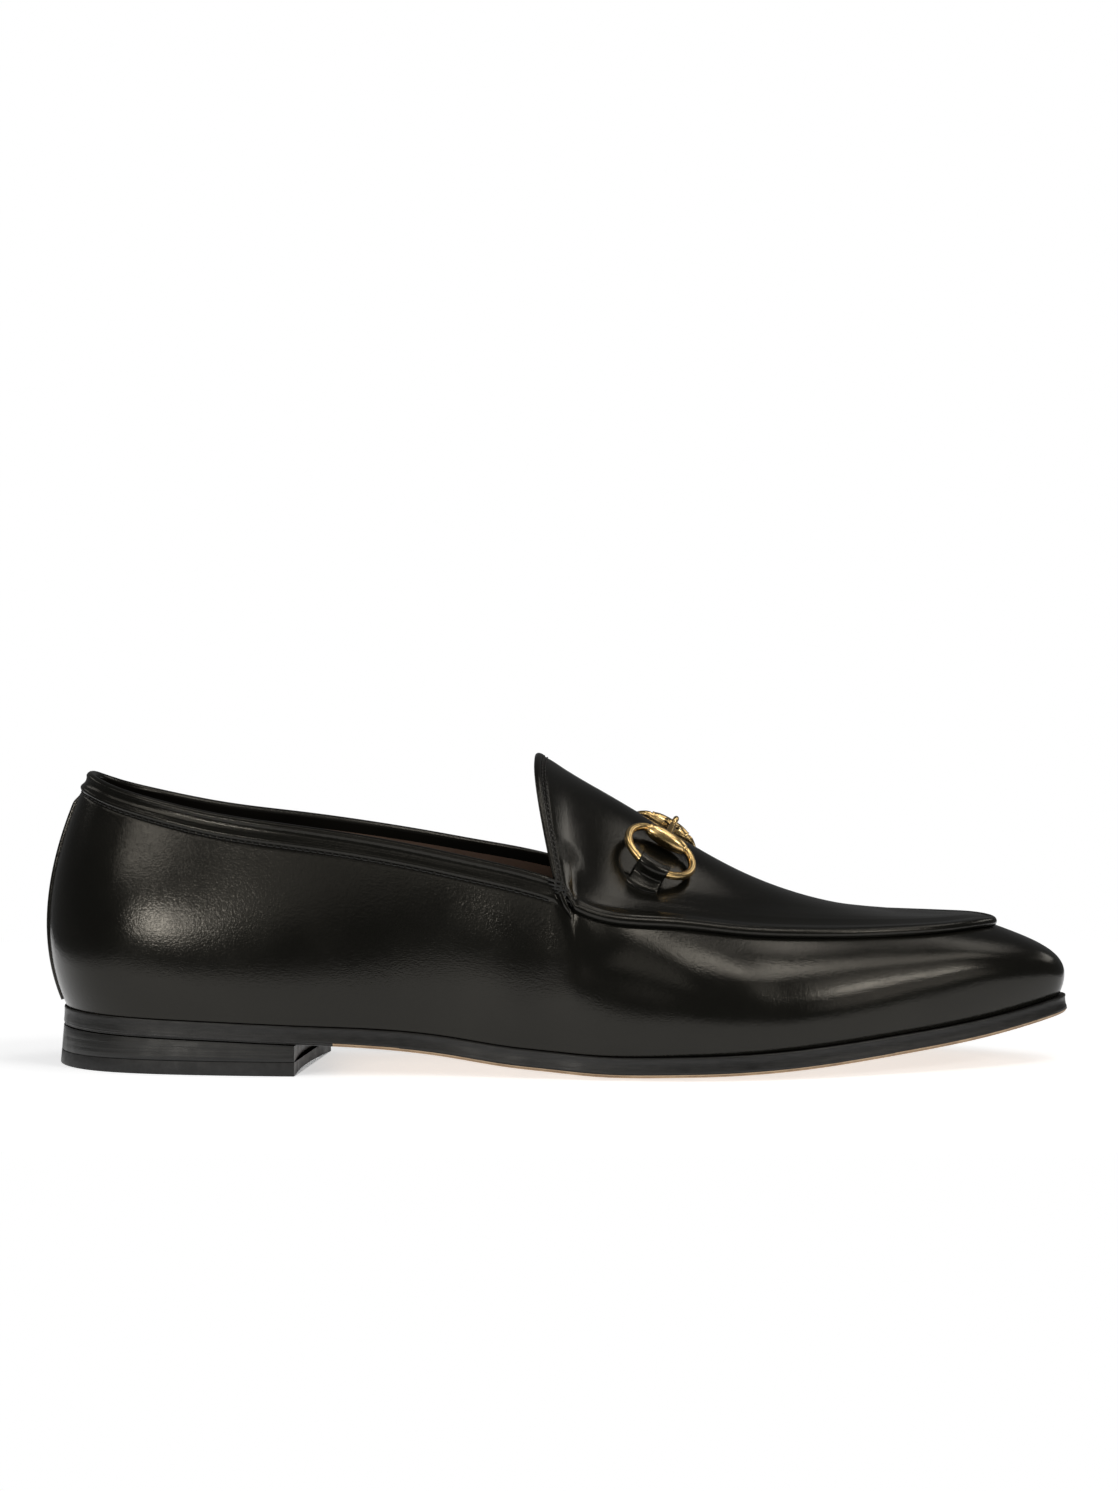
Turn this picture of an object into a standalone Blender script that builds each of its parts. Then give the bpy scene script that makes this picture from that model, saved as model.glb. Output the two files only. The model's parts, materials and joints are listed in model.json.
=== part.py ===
"""A bit loafer: one right shoe, in metres, toe towards +X, outer side towards -Y, standing on z = 0.

The last is a table of stations from the heel back to the toe tip. Each station gives the sole's outline,
the top line of the side wall (the collar, then the apron seam) and how the leather leans between them.
Sole, heel, insole, upper and apron edge are all worked out from that table and the sizes below.
"""

import math
from collections import namedtuple

import bmesh
import bpy
import numpy as np
from mathutils import Vector
from mathutils.bvhtree import BVHTree

MM = 0.001
UP = np.array([0.0, 0.0, 1.0])

# Driving sizes of the shoe
LENGTH = 262 * MM
BALL_WIDTH = 84 * MM
UPPER_HEIGHT = 72 * MM
HEEL_HEIGHT = 10.3 * MM
TOE_SPRING = 13.2 * MM
BALL_CROWN = 1.5 * MM

# Thicknesses and clearances
WALL = 2.0 * MM
SOLE_THICKNESS = 5.2 * MM
INSOLE_THICKNESS = 2.4 * MM
TOP_PIECE_THICKNESS = 3.6 * MM
GAP = 0.3 * MM

# Edges and overlays of the upper
COLLAR_BAND_WIDTH = 5.2 * MM
COLLAR_BAND_STEP = 0.5 * MM
EDGE_ROLL_SIZE = 1.25 * MM
BACK_STRIP_WIDTH = 3.0 * MM
BACK_STRIP_THICKNESS = 0.6 * MM

# Sole and heel
WELT_AT_HEEL = 0.6 * MM
WELT_AT_FOREPART = 2.0 * MM
HEEL_BREAST_LATERAL = 0.235
HEEL_BREAST_MEDIAL = 0.262
HEEL_FLARE = 0.9 * MM
BREAST_HOLLOW = 1.6 * MM

# The bit and the loops that hold it
BIT_PLACE = 0.243
BIT_SHIFT = -3.6 * MM
BARREL_SPREAD = 21.0 * MM
RING_LENGTH = 18.6 * MM
RING_DEPTH = 14.8 * MM
RING_CHORD = 12.4 * MM
RING_WIRE = 1.05 * MM
BARREL_LENGTH = 11.0 * MM
BARREL_RADIUS = 2.15 * MM
BARREL_END_RADIUS = 1.75 * MM
EYE_RADIUS = 1.75 * MM
EYE_WIRE = 0.72 * MM
BAR_ROOT_RADIUS = 1.7 * MM
BAR_TIP_RADIUS = 1.0 * MM
LOOP_WIDTH = 8.2 * MM
LOOP_THICKNESS = 0.9 * MM
LOOP_TAIL = 3.0 * MM

Station = namedtuple(
    "Station",
    "name foot_along foot_lateral foot_medial top_along top_lateral top_medial height_lateral height_medial "
    "lean_out lean_in low_full high_full crest ridge shoulder crown sweep",
)

# Along is a share of LENGTH, across a share of BALL_WIDTH, and the heights of the top line and of the
# apron's crest are shares of UPPER_HEIGHT above the sole's rim. Leans are degrees from upright, the shoulder
# is degrees above level, and the fullnesses are shares of the stretch that they round. The ridge moves
# the crest to the medial side, and sweep leans the apron's sections back. Behind the throat the last five
# columns only lead the curves on.
STATIONS = [
    Station(
        "heel back", 0.000, 0.000, 0.000, 0.027, 0.000, 0.000, 0.847, 0.847,
        24, 26, 0.37, 0.30, 1.060, 0.070, 60, 0.52, -0.015,
    ),
    Station(
        "heel corner", 0.012, 0.150, 0.143, 0.033, 0.090, 0.084, 0.838, 0.838,
        23, 24, 0.37, 0.30, 1.060, 0.070, 60, 0.52, -0.015,
    ),
    Station(
        "heel round", 0.038, 0.250, 0.228, 0.052, 0.167, 0.149, 0.815, 0.811,
        21, 20, 0.37, 0.31, 1.060, 0.070, 60, 0.52, -0.015,
    ),
    Station(
        "heel side", 0.084, 0.322, 0.274, 0.088, 0.238, 0.208, 0.785, 0.777,
        18, 16, 0.36, 0.33, 1.060, 0.070, 60, 0.52, -0.015,
    ),
    Station(
        "seat", 0.153, 0.369, 0.284, 0.153, 0.304, 0.244, 0.742, 0.733,
        16, 12, 0.35, 0.35, 1.060, 0.070, 60, 0.52, -0.015,
    ),
    Station(
        "breast", 0.240, 0.396, 0.246, 0.237, 0.355, 0.268, 0.711, 0.702,
        14, 10, 0.35, 0.35, 1.060, 0.070, 60, 0.52, -0.015,
    ),
    Station(
        "shank", 0.324, 0.399, 0.206, 0.321, 0.381, 0.286, 0.678, 0.669,
        13, 10, 0.35, 0.35, 1.060, 0.070, 60, 0.52, -0.015,
    ),
    Station(
        "waist", 0.400, 0.418, 0.210, 0.397, 0.414, 0.321, 0.654, 0.647,
        12, 10, 0.35, 0.35, 1.060, 0.070, 60, 0.52, -0.015,
    ),
    Station(
        "arch", 0.450, 0.456, 0.248, 0.447, 0.438, 0.354, 0.640, 0.636,
        12, 12, 0.35, 0.35, 1.060, 0.070, 60, 0.52, -0.015,
    ),
    Station(
        "throat", 0.492, 0.480, 0.295, 0.489, 0.458, 0.381, 0.612, 0.612,
        12, 14, 0.35, 0.35, 1.015, 0.070, 58, 0.46, -0.015,
    ),
    Station(
        "seam start", 0.515, 0.498, 0.327, 0.508, 0.460, 0.390, 0.520, 0.520,
        13, 20, 0.37, 0.35, 0.958, 0.072, 42, 0.42, -0.006,
    ),
    Station(
        "instep", 0.553, 0.518, 0.372, 0.538, 0.444, 0.385, 0.483, 0.483,
        14, 28, 0.38, 0.35, 0.888, 0.074, 26, 0.38, 0.000,
    ),
    Station(
        "ball", 0.630, 0.536, 0.442, 0.607, 0.408, 0.357, 0.453, 0.453,
        18, 42, 0.42, 0.35, 0.737, 0.072, 15, 0.35, 0.000,
    ),
    Station(
        "joint", 0.695, 0.513, 0.460, 0.668, 0.369, 0.329, 0.418, 0.418,
        19, 47, 0.42, 0.36, 0.606, 0.058, 11, 0.37, 0.000,
    ),
    Station(
        "forepart", 0.763, 0.450, 0.432, 0.729, 0.327, 0.300, 0.389, 0.395,
        20, 52, 0.42, 0.36, 0.505, 0.038, 9, 0.41, 0.000,
    ),
    Station(
        "toe root", 0.832, 0.357, 0.362, 0.786, 0.277, 0.267, 0.364, 0.378,
        20, 54, 0.42, 0.40, 0.436, 0.020, 8, 0.46, 0.000,
    ),
    Station(
        "toe side", 0.897, 0.261, 0.294, 0.840, 0.212, 0.224, 0.343, 0.357,
        21, 58, 0.42, 0.46, 0.390, 0.010, 6, 0.46, 0.000,
    ),
    Station(
        "toe round", 0.947, 0.174, 0.217, 0.882, 0.143, 0.167, 0.328, 0.338,
        21, 64, 0.41, 0.54, 0.367, 0.004, 5, 0.46, 0.000,
    ),
    Station(
        "toe corner", 0.981, 0.099, 0.135, 0.910, 0.065, 0.107, 0.317, 0.322,
        22, 68, 0.41, 0.60, 0.352, 0.001, 4, 0.46, 0.000,
    ),
    Station(
        "toe turn", 0.995, 0.049, 0.085, 0.9205, 0.019, 0.067, 0.310, 0.312,
        24, 70, 0.42, 0.63, 0.342, 0.000, 3, 0.46, 0.000,
    ),
    Station(
        "toe tip", 1.000, -0.018, 0.018, 0.924, -0.024, 0.024, 0.307, 0.307,
        24, 70, 0.42, 0.64, 0.337, 0.000, 3, 0.46, 0.000,
    ),
]
ROW_OF = {row.name: number for number, row in enumerate(STATIONS)}

# The sole's underside along its middle: shares of HEEL_HEIGHT, TOE_SPRING and BALL_CROWN. The spline dips
# just below the floor under the ball, and the flat spot is where the floor takes it off.
SoleRow = namedtuple("SoleRow", "along heel toe crown thick")
SOLE_ROWS = [
    SoleRow(0.000, 1.00, 0.000, 0.00, 0.88),
    SoleRow(0.075, 0.92, 0.000, 0.00, 0.88),
    SoleRow(0.150, 0.86, 0.000, 0.03, 0.88),
    SoleRow(0.240, 0.76, 0.000, 0.10, 0.90),
    SoleRow(0.330, 0.61, 0.000, 0.20, 0.97),
    SoleRow(0.385, 0.43, 0.000, 0.32, 1.00),
    SoleRow(0.435, 0.22, 0.000, 0.52, 1.00),
    SoleRow(0.485, 0.06, 0.000, 0.80, 1.00),
    SoleRow(0.535, -0.06, 0.000, 1.00, 1.00),
    SoleRow(0.600, 0.00, -0.045, 1.00, 1.00),
    SoleRow(0.660, 0.00, -0.010, 0.95, 1.00),
    SoleRow(0.730, 0.00, 0.090, 0.80, 1.00),
    SoleRow(0.820, 0.00, 0.310, 0.55, 0.97),
    SoleRow(0.920, 0.00, 0.625, 0.28, 0.92),
    SoleRow(1.000, 0.00, 1.000, 0.00, 0.88),
]

# The sole's side from its lower to its upper rim: share of the thickness, and outset in sole thicknesses
SOLE_SIDE = [(0.00, -0.14), (0.16, 0.00), (0.45, -0.07), (0.80, -0.10), (1.00, -0.16)]
# The collar band's lower edge and top: shares of its width below the top line, and of its step outwards
BAND_PROFILE = [(1.08, 0.0), (0.98, 1.0), (0.5, 1.0), (0.0, 0.7)]
# The rolled edge of the apron, from the wall over the roll to the apron: down the wall and out of it,
# in roll sizes
EDGE_ROLL = [(0.30, 0.00), (0.95, 0.30), (1.05, 0.85), (0.75, 1.40), (0.10, 1.68), (-0.60, 1.50), (-1.30, 1.12)]
# A loop's section: degrees round the ring's wire from outward over the top, then how far out in loop radii
# (past 1 in shares of the tail) and the height over the apron in loop thicknesses. None follows the wire.
LOOP_SECTION = [
    (150, 0, None), (120, 0, None), (90, 0, None), (60, 0, None), (32, 0, None),
    (15, 1.15, 2.1), (6, 1.55, 2.0), (1, 2.0, 2.0), (-8, 2.0, 0), (-25, 1.5, 0), (-45, 1.0, 0),
    (-75, 0.35, 0), (-105, -0.35, 0), (-140, -0.8, 0.35), (180, 0, None),
]
# How far up the apron's shoulder reaches, as a share of the way from the roll to the crest
APRON_FULLNESS = 0.42
# Half of a barrel from its middle to its end: shares of half its length, and of the way down to its end
BARREL_PROFILE = [(0.00, 0.00), (0.30, 0.10), (0.60, 0.42), (0.82, 0.85), (0.93, 1.00), (1.00, 1.25)]

# Where the leather pieces start and end
BAND_START = 1.15
STRIP_START = 0.02
STRIP_END = 1.25
INSOLE_CLEARANCE = 0.4 * MM
INSOLE_CLIMB = 1 / 0.9
# How the bit is fitted: its place on the crest is read over a short span, its barrel is lifted in small steps,
# its ring tilts from the steepest angle in degrees, and its shank starts inside the barrel and ends in the eye
BIT_SPAN = 0.01
SEAT_STEP = 0.1 * MM
STEEPEST_TILT = 70
RING_FAR_PART = 0.75
SHANK_START = 0.2
SHANK_SINK = 0.3
BORE_REACH = 1.3

# Mesh resolution
NUDGE = 1e-4
WELD = 0.002 * MM
SHARP_ANGLE = 45
OUTLINE_COUNT = 1200
STRIP_COLUMNS = 5
STRIP_ROWS = 13
SEAT_POINTS = 5
SHANK_RINGS = 5
CHORD_STEPS = 5
REAR_COLUMNS = 17
STEP_COLUMNS = 3
FORE_COLUMNS = 22
TOE_CROWDING = 0.6
WALL_ROWS = 7
APRON_ROWS = 6
SOLE_ROWS_ACROSS = 4
HEEL_COLUMNS = 13
BREAST_COLUMNS = 4
TUBE_SIDES = 10
EYE_STEPS = 14
RING_STEPS = 25
LOOP_STEPS = 5


class Spline:
    """A twice smooth curve through rows of values at knots. A closed one is back at its first row at the
    last knot, and an open one has free ends."""

    def __init__(self, knots, rows, closed=False):
        rows = np.asarray(rows, float)
        count, step = len(rows), np.diff(knots)
        matrix, right = np.eye(count), np.zeros(rows.shape)
        for i in range(count) if closed else range(1, count - 1):
            before, after, following = step[i - 1], step[i], (i + 1) % count
            matrix[i, i] = 2 * (before + after)
            matrix[i, i - 1], matrix[i, following] = before, after
            right[i] = 6 * ((rows[following] - rows[i]) / after - (rows[i] - rows[i - 1]) / before)
        bend = np.linalg.solve(matrix, right)
        self.closed = closed
        self.knots = np.asarray(knots, float)
        self.rows = np.vstack([rows, rows[:1]]) if closed else rows
        self.bend = np.vstack([bend, bend[:1]]) if closed else bend

    def __call__(self, at):
        first, last = self.knots[0], self.knots[-1]
        at = np.asarray(at, float) % last if self.closed else np.clip(at, first, last)
        i = np.clip(np.searchsorted(self.knots, at, side="right") - 1, 0, len(self.knots) - 2)
        step = (self.knots[i + 1] - self.knots[i])[:, None]
        low, high = (self.knots[i + 1] - at)[:, None], (at - self.knots[i])[:, None]
        return (
            (self.bend[i] * low**3 + self.bend[i + 1] * high**3) / (6 * step)
            + (self.rows[i] / step - self.bend[i] * step / 6) * low
            + (self.rows[i + 1] / step - self.bend[i + 1] * step / 6) * high
        )


def bezier(points, t):
    """A cubic curve; points is four arrays of places, and t is broadcast against them."""
    a, b, c, d = points
    s = 1 - t
    return s**3 * a + 3 * s * s * t * b + 3 * s * t * t * c + t**3 * d


def unit(vectors):
    return vectors / np.linalg.norm(vectors, axis=-1, keepdims=True)


def around_the_shoe(lateral, medial):
    """One value a station, out along the lateral side and back along the medial side."""
    return np.array(lateral + medial[-2:0:-1], float)


def station_values():
    """The station table as rows around the shoe, in metres and radians, and the knots they sit at."""
    columns = []
    for side, hand in (("_lateral", -1), ("_medial", 1)):
        columns.append(
            [
                (
                    row.foot_along * LENGTH,
                    hand * getattr(row, "foot" + side) * BALL_WIDTH,
                    row.top_along * LENGTH,
                    hand * getattr(row, "top" + side) * BALL_WIDTH,
                    getattr(row, "height" + side) * UPPER_HEIGHT,
                    math.radians(row.lean_out),
                    math.radians(row.lean_in),
                    row.low_full,
                    row.high_full,
                    row.crest * UPPER_HEIGHT,
                    row.ridge * BALL_WIDTH,
                    math.radians(row.shoulder),
                    row.crown,
                    row.sweep * LENGTH,
                )
                for row in STATIONS
            ]
        )
    rows = around_the_shoe(*columns)
    feet = np.vstack([rows[:, :2], rows[:1, :2]])
    knots = np.concatenate([[0], np.cumsum(np.linalg.norm(np.diff(feet, axis=0), axis=1))])
    return rows, knots / knots[-1]


STATION_VALUES, KNOTS = station_values()
# The shoemaker's last: every value of the station table at each place around the shoe
LAST = Spline(KNOTS, STATION_VALUES, closed=True)
LATERAL_THROAT, MEDIAL_THROAT = (side[ROW_OF["throat"]] for side in (KNOTS, KNOTS[::-1]))
LATERAL_SEAM, MEDIAL_SEAM = (side[ROW_OF["seam start"]] for side in (KNOTS, KNOTS[::-1]))
TIP = KNOTS[ROW_OF["toe tip"]]


def top_line_heights():
    """The top line's height in two curves, since it has corners at both ends of the step from the collar down
    to the seam: the collar round the heel, and the seam round the toe."""
    throat = ROW_OF["throat"]
    heights = STATION_VALUES[:, 4:5]
    rear_knots = np.concatenate([KNOTS[-1 - throat : -1] - 1, KNOTS[: throat + 1]])
    rear = Spline(rear_knots, heights[list(range(-throat, throat + 1))])
    around_toe = slice(throat, len(heights) - throat + 1)
    seam = heights[around_toe].copy()
    # The seam's curve runs straight on behind its own start
    seam[[0, -1]] = 2 * seam[[1, -2]] - seam[[2, -3]]
    return rear, Spline(KNOTS[around_toe], seam)


REAR_HEIGHTS, SEAM_HEIGHTS = top_line_heights()


def top_height(places):
    """Height of the top line above the sole's rim: the collar, the step and the seam."""
    around = np.asarray(places, float) % 1
    rear = REAR_HEIGHTS(np.where(around > TIP, around - 1, around))
    fore = SEAM_HEIGHTS(around)
    lateral = (around - LATERAL_THROAT) / (LATERAL_SEAM - LATERAL_THROAT)
    medial = (MEDIAL_THROAT - around) / (MEDIAL_THROAT - MEDIAL_SEAM)
    share = np.clip(np.minimum(lateral, medial), 0, 1)
    return rear[:, 0] * (1 - share) + fore[:, 0] * share


def plan_normals(places, first):
    """Level outward normals of the loop whose x and y are columns first and first + 1."""
    along = unit((LAST(places + NUDGE) - LAST(places - NUDGE))[:, first : first + 2])
    return np.stack([along[:, 1], -along[:, 0], np.zeros(len(along))], axis=1)


OUTLINE_PLACES = np.linspace(0, 1, OUTLINE_COUNT, endpoint=False)
OUTLINE = LAST(OUTLINE_PLACES)[:, :2]
OUTLINE_LENGTH = np.linalg.norm(np.diff(OUTLINE, axis=0), axis=1).sum()
# The outline's x and place on the lateral and the medial side, for finding the place of an x
BREAST_READER = [
    (OUTLINE[OUTLINE_PLACES < TIP, 0], OUTLINE_PLACES[OUTLINE_PLACES < TIP]),
    (OUTLINE[OUTLINE_PLACES > TIP, 0][::-1], OUTLINE_PLACES[OUTLINE_PLACES > TIP][::-1]),
]


def sole_edges(x):
    """The y of the sole's lateral and medial outline at each x."""
    lateral = OUTLINE[OUTLINE_PLACES <= TIP]
    medial = OUTLINE[OUTLINE_PLACES >= TIP][::-1]
    return np.interp(x, lateral[:, 0], lateral[:, 1]), np.interp(x, medial[:, 0], medial[:, 1])


SOLE_LINE = Spline(
    [row.along * LENGTH for row in SOLE_ROWS],
    [
        (row.heel * HEEL_HEIGHT + row.toe * TOE_SPRING, row.crown * BALL_CROWN, row.thick * SOLE_THICKNESS)
        for row in SOLE_ROWS
    ],
)


def sole_bottom(x, y):
    """Height of the sole's underside: a line along the middle, crowned from side to side, flat on the floor."""
    middle, crown, _ = SOLE_LINE(np.ravel(x)).T.reshape((3,) + np.shape(x))
    lateral, medial = sole_edges(x)
    half = np.maximum((medial - lateral) / 2, BALL_CROWN)
    across = np.clip((y - (medial + lateral) / 2) / half, -1, 1)
    return np.maximum(middle + crown * across**2, 0)


def sole_thickness(x):
    return SOLE_LINE(np.ravel(x))[:, 2].reshape(np.shape(x))


def sole_top(x, y):
    return sole_bottom(x, y) + sole_thickness(x)


def welt_at(x):
    share = np.clip((x / LENGTH - HEEL_BREAST_LATERAL) / (1 - 2 * HEEL_BREAST_LATERAL), 0, 1)
    return WELT_AT_HEEL + (WELT_AT_FOREPART - WELT_AT_HEEL) * share * share * (3 - 2 * share)


def wall_frame(places):
    """Foot, top, outward directions and station values of the side wall at each place around the shoe."""
    values = LAST(places)
    foot_out, top_out = plan_normals(places, 0), plan_normals(places, 2)
    foot = np.zeros((len(places), 3))
    foot[:, :2] = values[:, :2] - foot_out[:, :2] * welt_at(values[:, :1])
    foot[:, 2] = sole_top(foot[:, 0], foot[:, 1]) + GAP
    top = np.zeros((len(places), 3))
    top[:, :2] = values[:, 2:4]
    lateral, medial = sole_edges(top[:, 0])
    rim = sole_top(top[:, 0], np.where(top_out[:, 1] < 0, lateral, medial))
    top[:, 2] = rim + top_height(places)
    return foot, top, foot_out, top_out, values


def smooth_lift(places):
    """How far the seam's line, led on behind its corner, lies over the top line."""
    return (SEAM_HEIGHTS(places)[:, 0] - top_height(places))[:, None] * UP


def wall_points(places, shares):
    """The outer face of the side wall: places around the shoe by shares of the way up, which are the same
    for all places or one row a place."""
    foot, top, foot_out, top_out, values = wall_frame(places)
    reach = np.linalg.norm(top - foot, axis=1)[:, None]
    lean_out, lean_in, low, high = (values[:, i][:, None] for i in range(5, 9))
    after_foot = foot + low * reach * (foot_out * np.sin(lean_out) + UP * np.cos(lean_out))
    before_top = top + high * reach * (top_out * np.sin(lean_in) - UP * np.cos(lean_in))
    ends = [p[:, None, :] for p in (foot, after_foot, before_top, top)]
    return bezier(ends, np.atleast_2d(shares)[..., None])


def wall_normals(places, shares):
    shares = np.asarray(shares, float)
    around = wall_points(places + NUDGE, shares) - wall_points(places - NUDGE, shares)
    upward = wall_points(places, shares + NUDGE) - wall_points(places, shares - NUDGE)
    return unit(np.cross(around, upward))


def edge_roll(places):
    """The apron's rolled edge, from the wall's top over the roll: one row of points a place."""
    _, top, _, top_out, values = wall_frame(places)
    lean = values[:, 6][:, None]
    out = top_out * np.cos(lean) + UP * np.sin(lean)
    down = top_out * np.sin(lean) - UP * np.cos(lean)
    return np.stack([top + EDGE_ROLL_SIZE * (a * down + b * out) for a, b in EDGE_ROLL], axis=1)


def apron_points(lateral_places, medial_places, across):
    """The apron's outer face in two halves: sections from the throat to the toe tip, each from a rolled edge
    to the crest. across holds shares of that way."""
    sides = (lateral_places, medial_places)
    starts = [edge_roll(places)[:, -1] for places in sides]
    values = (LAST(lateral_places) + LAST(medial_places)) / 2
    height, ridge, shoulder, crown, sweep = (values[:, i][:, None] for i in range(9, 14))
    backwards = sweep * np.array([1.0, 0.0, 0.0])
    crest = (starts[0] + starts[1]) / 2 + backwards + ridge * np.array([0.0, 1.0, 0.0])
    crest[:, 2:] = sole_top(crest[:, :1], sole_edges(crest[:, :1])[0]) + height
    halves = []
    for start, places in zip(starts, sides):
        base = start + smooth_lift(places)
        inward = (crest - base) * (1 - UP)
        width = np.linalg.norm(inward, axis=1)[:, None]
        level = inward / np.maximum(width, MM * MM)
        reach = np.linalg.norm(crest - base, axis=1)[:, None]
        climb = level * np.cos(shoulder) + UP * np.sin(shoulder)
        after_start = base + APRON_FULLNESS * reach * climb + 0.5 * backwards
        before_crest = crest - crown * width * np.array([0, 1, 0]) * np.sign(inward[:, 1:2]) + 0.5 * backwards
        ends = [p[:, None, :] for p in (start, after_start, before_crest, crest)]
        halves.append(bezier(ends, np.asarray(across, float)[None, :, None]))
    return halves


def apron_normals(lateral_places, medial_places, across):
    """Outward normals of both halves of the apron. Where it runs out at the toe tip they point up."""
    ahead = apron_points(lateral_places, medial_places, across)
    behind = apron_points(lateral_places - NUDGE, medial_places + NUDGE, across)
    inner = apron_points(lateral_places, medial_places, across + NUDGE)
    outer = apron_points(lateral_places, medial_places, across - NUDGE)
    found = []
    for half, hand in ((0, 1), (1, -1)):
        normal = hand * np.cross(ahead[half] - behind[half], inner[half] - outer[half])
        length = np.linalg.norm(normal, axis=2, keepdims=True)
        found.append(np.where(length > MM**4, normal / np.maximum(length, MM**4), UP))
    # Both halves end in one section at the toe tip
    found[1][-1] = found[0][-1]
    return found


def material(name, colour, roughness, metallic=0.0):
    made = bpy.data.materials.new(name)
    made.use_nodes = True
    shader = made.node_tree.nodes["Principled BSDF"]
    shader.inputs["Base Color"].default_value = (*colour, 1)
    shader.inputs["Roughness"].default_value = roughness
    shader.inputs["Metallic"].default_value = metallic
    return made


def new_object(name, mesh, finish):
    made = bpy.data.objects.new(name, mesh)
    PARTS.objects.link(made)
    if not mesh.materials:
        mesh.materials.append(finish)
    return made


def mesh_object(name, points, faces, finish):
    """A closed mesh from points and faces, its doubles merged and its faces turned outwards."""
    mesh = bpy.data.meshes.new(name)
    mesh.from_pydata([tuple(p) for p in points], [], faces)
    work = bmesh.new()
    work.from_mesh(mesh)
    bmesh.ops.remove_doubles(work, verts=work.verts, dist=WELD)
    bmesh.ops.dissolve_degenerate(work, edges=work.edges, dist=WELD)
    bmesh.ops.recalc_face_normals(work, faces=work.faces)
    work.to_mesh(mesh)
    work.free()
    mesh.shade_smooth()
    mesh.set_sharp_from_angle(angle=math.radians(SHARP_ANGLE))
    return new_object(name, mesh, finish)


class Grid:
    """Points and faces of one mesh, gathered strip by strip."""

    def __init__(self):
        self.points = []
        self.faces = []

    def add(self, rows):
        """Adds an array of points, and returns their numbers in an array of the same shape."""
        rows = np.asarray(rows, float)
        first = len(self.points)
        self.points.extend(rows.reshape(-1, 3))
        return np.arange(first, len(self.points)).reshape(rows.shape[:-1])

    def face(self, *numbers):
        self.faces.append([int(n) for n in numbers])

    def quads(self, numbers, closed=False):
        """Faces between neighbouring rows of a grid of point numbers."""
        rows = np.vstack([numbers, numbers[:1]]) if closed else numbers
        for near, far in zip(rows[:-1], rows[1:]):
            for i in range(len(near) - 1):
                self.face(near[i], far[i], far[i + 1], near[i + 1])


def column_places():
    """Places of the wall's columns around the shoe, with one at each corner of its top line and the closest
    ones at the toe."""
    share = np.linspace(0, 1, FORE_COLUMNS, endpoint=False)
    fore = share + TOE_CROWDING * share * (1 - share)
    rear, step = (np.linspace(0, 1, count, endpoint=False) for count in (REAR_COLUMNS, STEP_COLUMNS))
    lateral = [0, LATERAL_THROAT, LATERAL_SEAM, TIP]
    medial = [1, MEDIAL_THROAT, MEDIAL_SEAM, TIP]
    runs = [
        [first + (last - first) * shares for first, last, shares in zip(side, side[1:], (rear, step, fore))]
        for side in (lateral, medial)
    ]
    out, back = (np.concatenate(side) for side in runs)
    return np.concatenate([out, [TIP], back[:0:-1]])


def wall_skins(places, throats):
    """Both faces of the side wall as rows of points a column, with the band's step behind the throats."""
    foot, top, *_ = wall_frame(places)
    band = COLLAR_BAND_WIDTH / np.linalg.norm(top - foot, axis=1)
    shares = [np.full(len(places), share) for share in np.linspace(0, 1 - BAND_START * band.max(), WALL_ROWS)]
    shares = np.column_stack(shares + [1 - step * band for step, _ in BAND_PROFILE])
    lifts = np.array([0.0] * WALL_ROWS + [lift for _, lift in BAND_PROFILE]) * COLLAR_BAND_STEP
    is_collar = np.ones(len(places))
    is_collar[throats[0] + 1 : throats[1]] = 0
    skin, normal = wall_points(places, shares), wall_normals(places, shares)
    return skin + (is_collar[:, None] * lifts)[..., None] * normal, skin - WALL * normal


def end_strip(grid, edge, inner_edge, roll_count):
    """Closes the leather's cut edge between its faces, where the outer one has the roll's extra points."""
    for near, far in zip(edge[:roll_count], edge[1 : roll_count + 1]):
        grid.face(inner_edge[0], near, far)
    grid.face(inner_edge[0], edge[roll_count], inner_edge[1])
    grid.quads(np.array([inner_edge[1:], edge[roll_count:]]))


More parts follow.
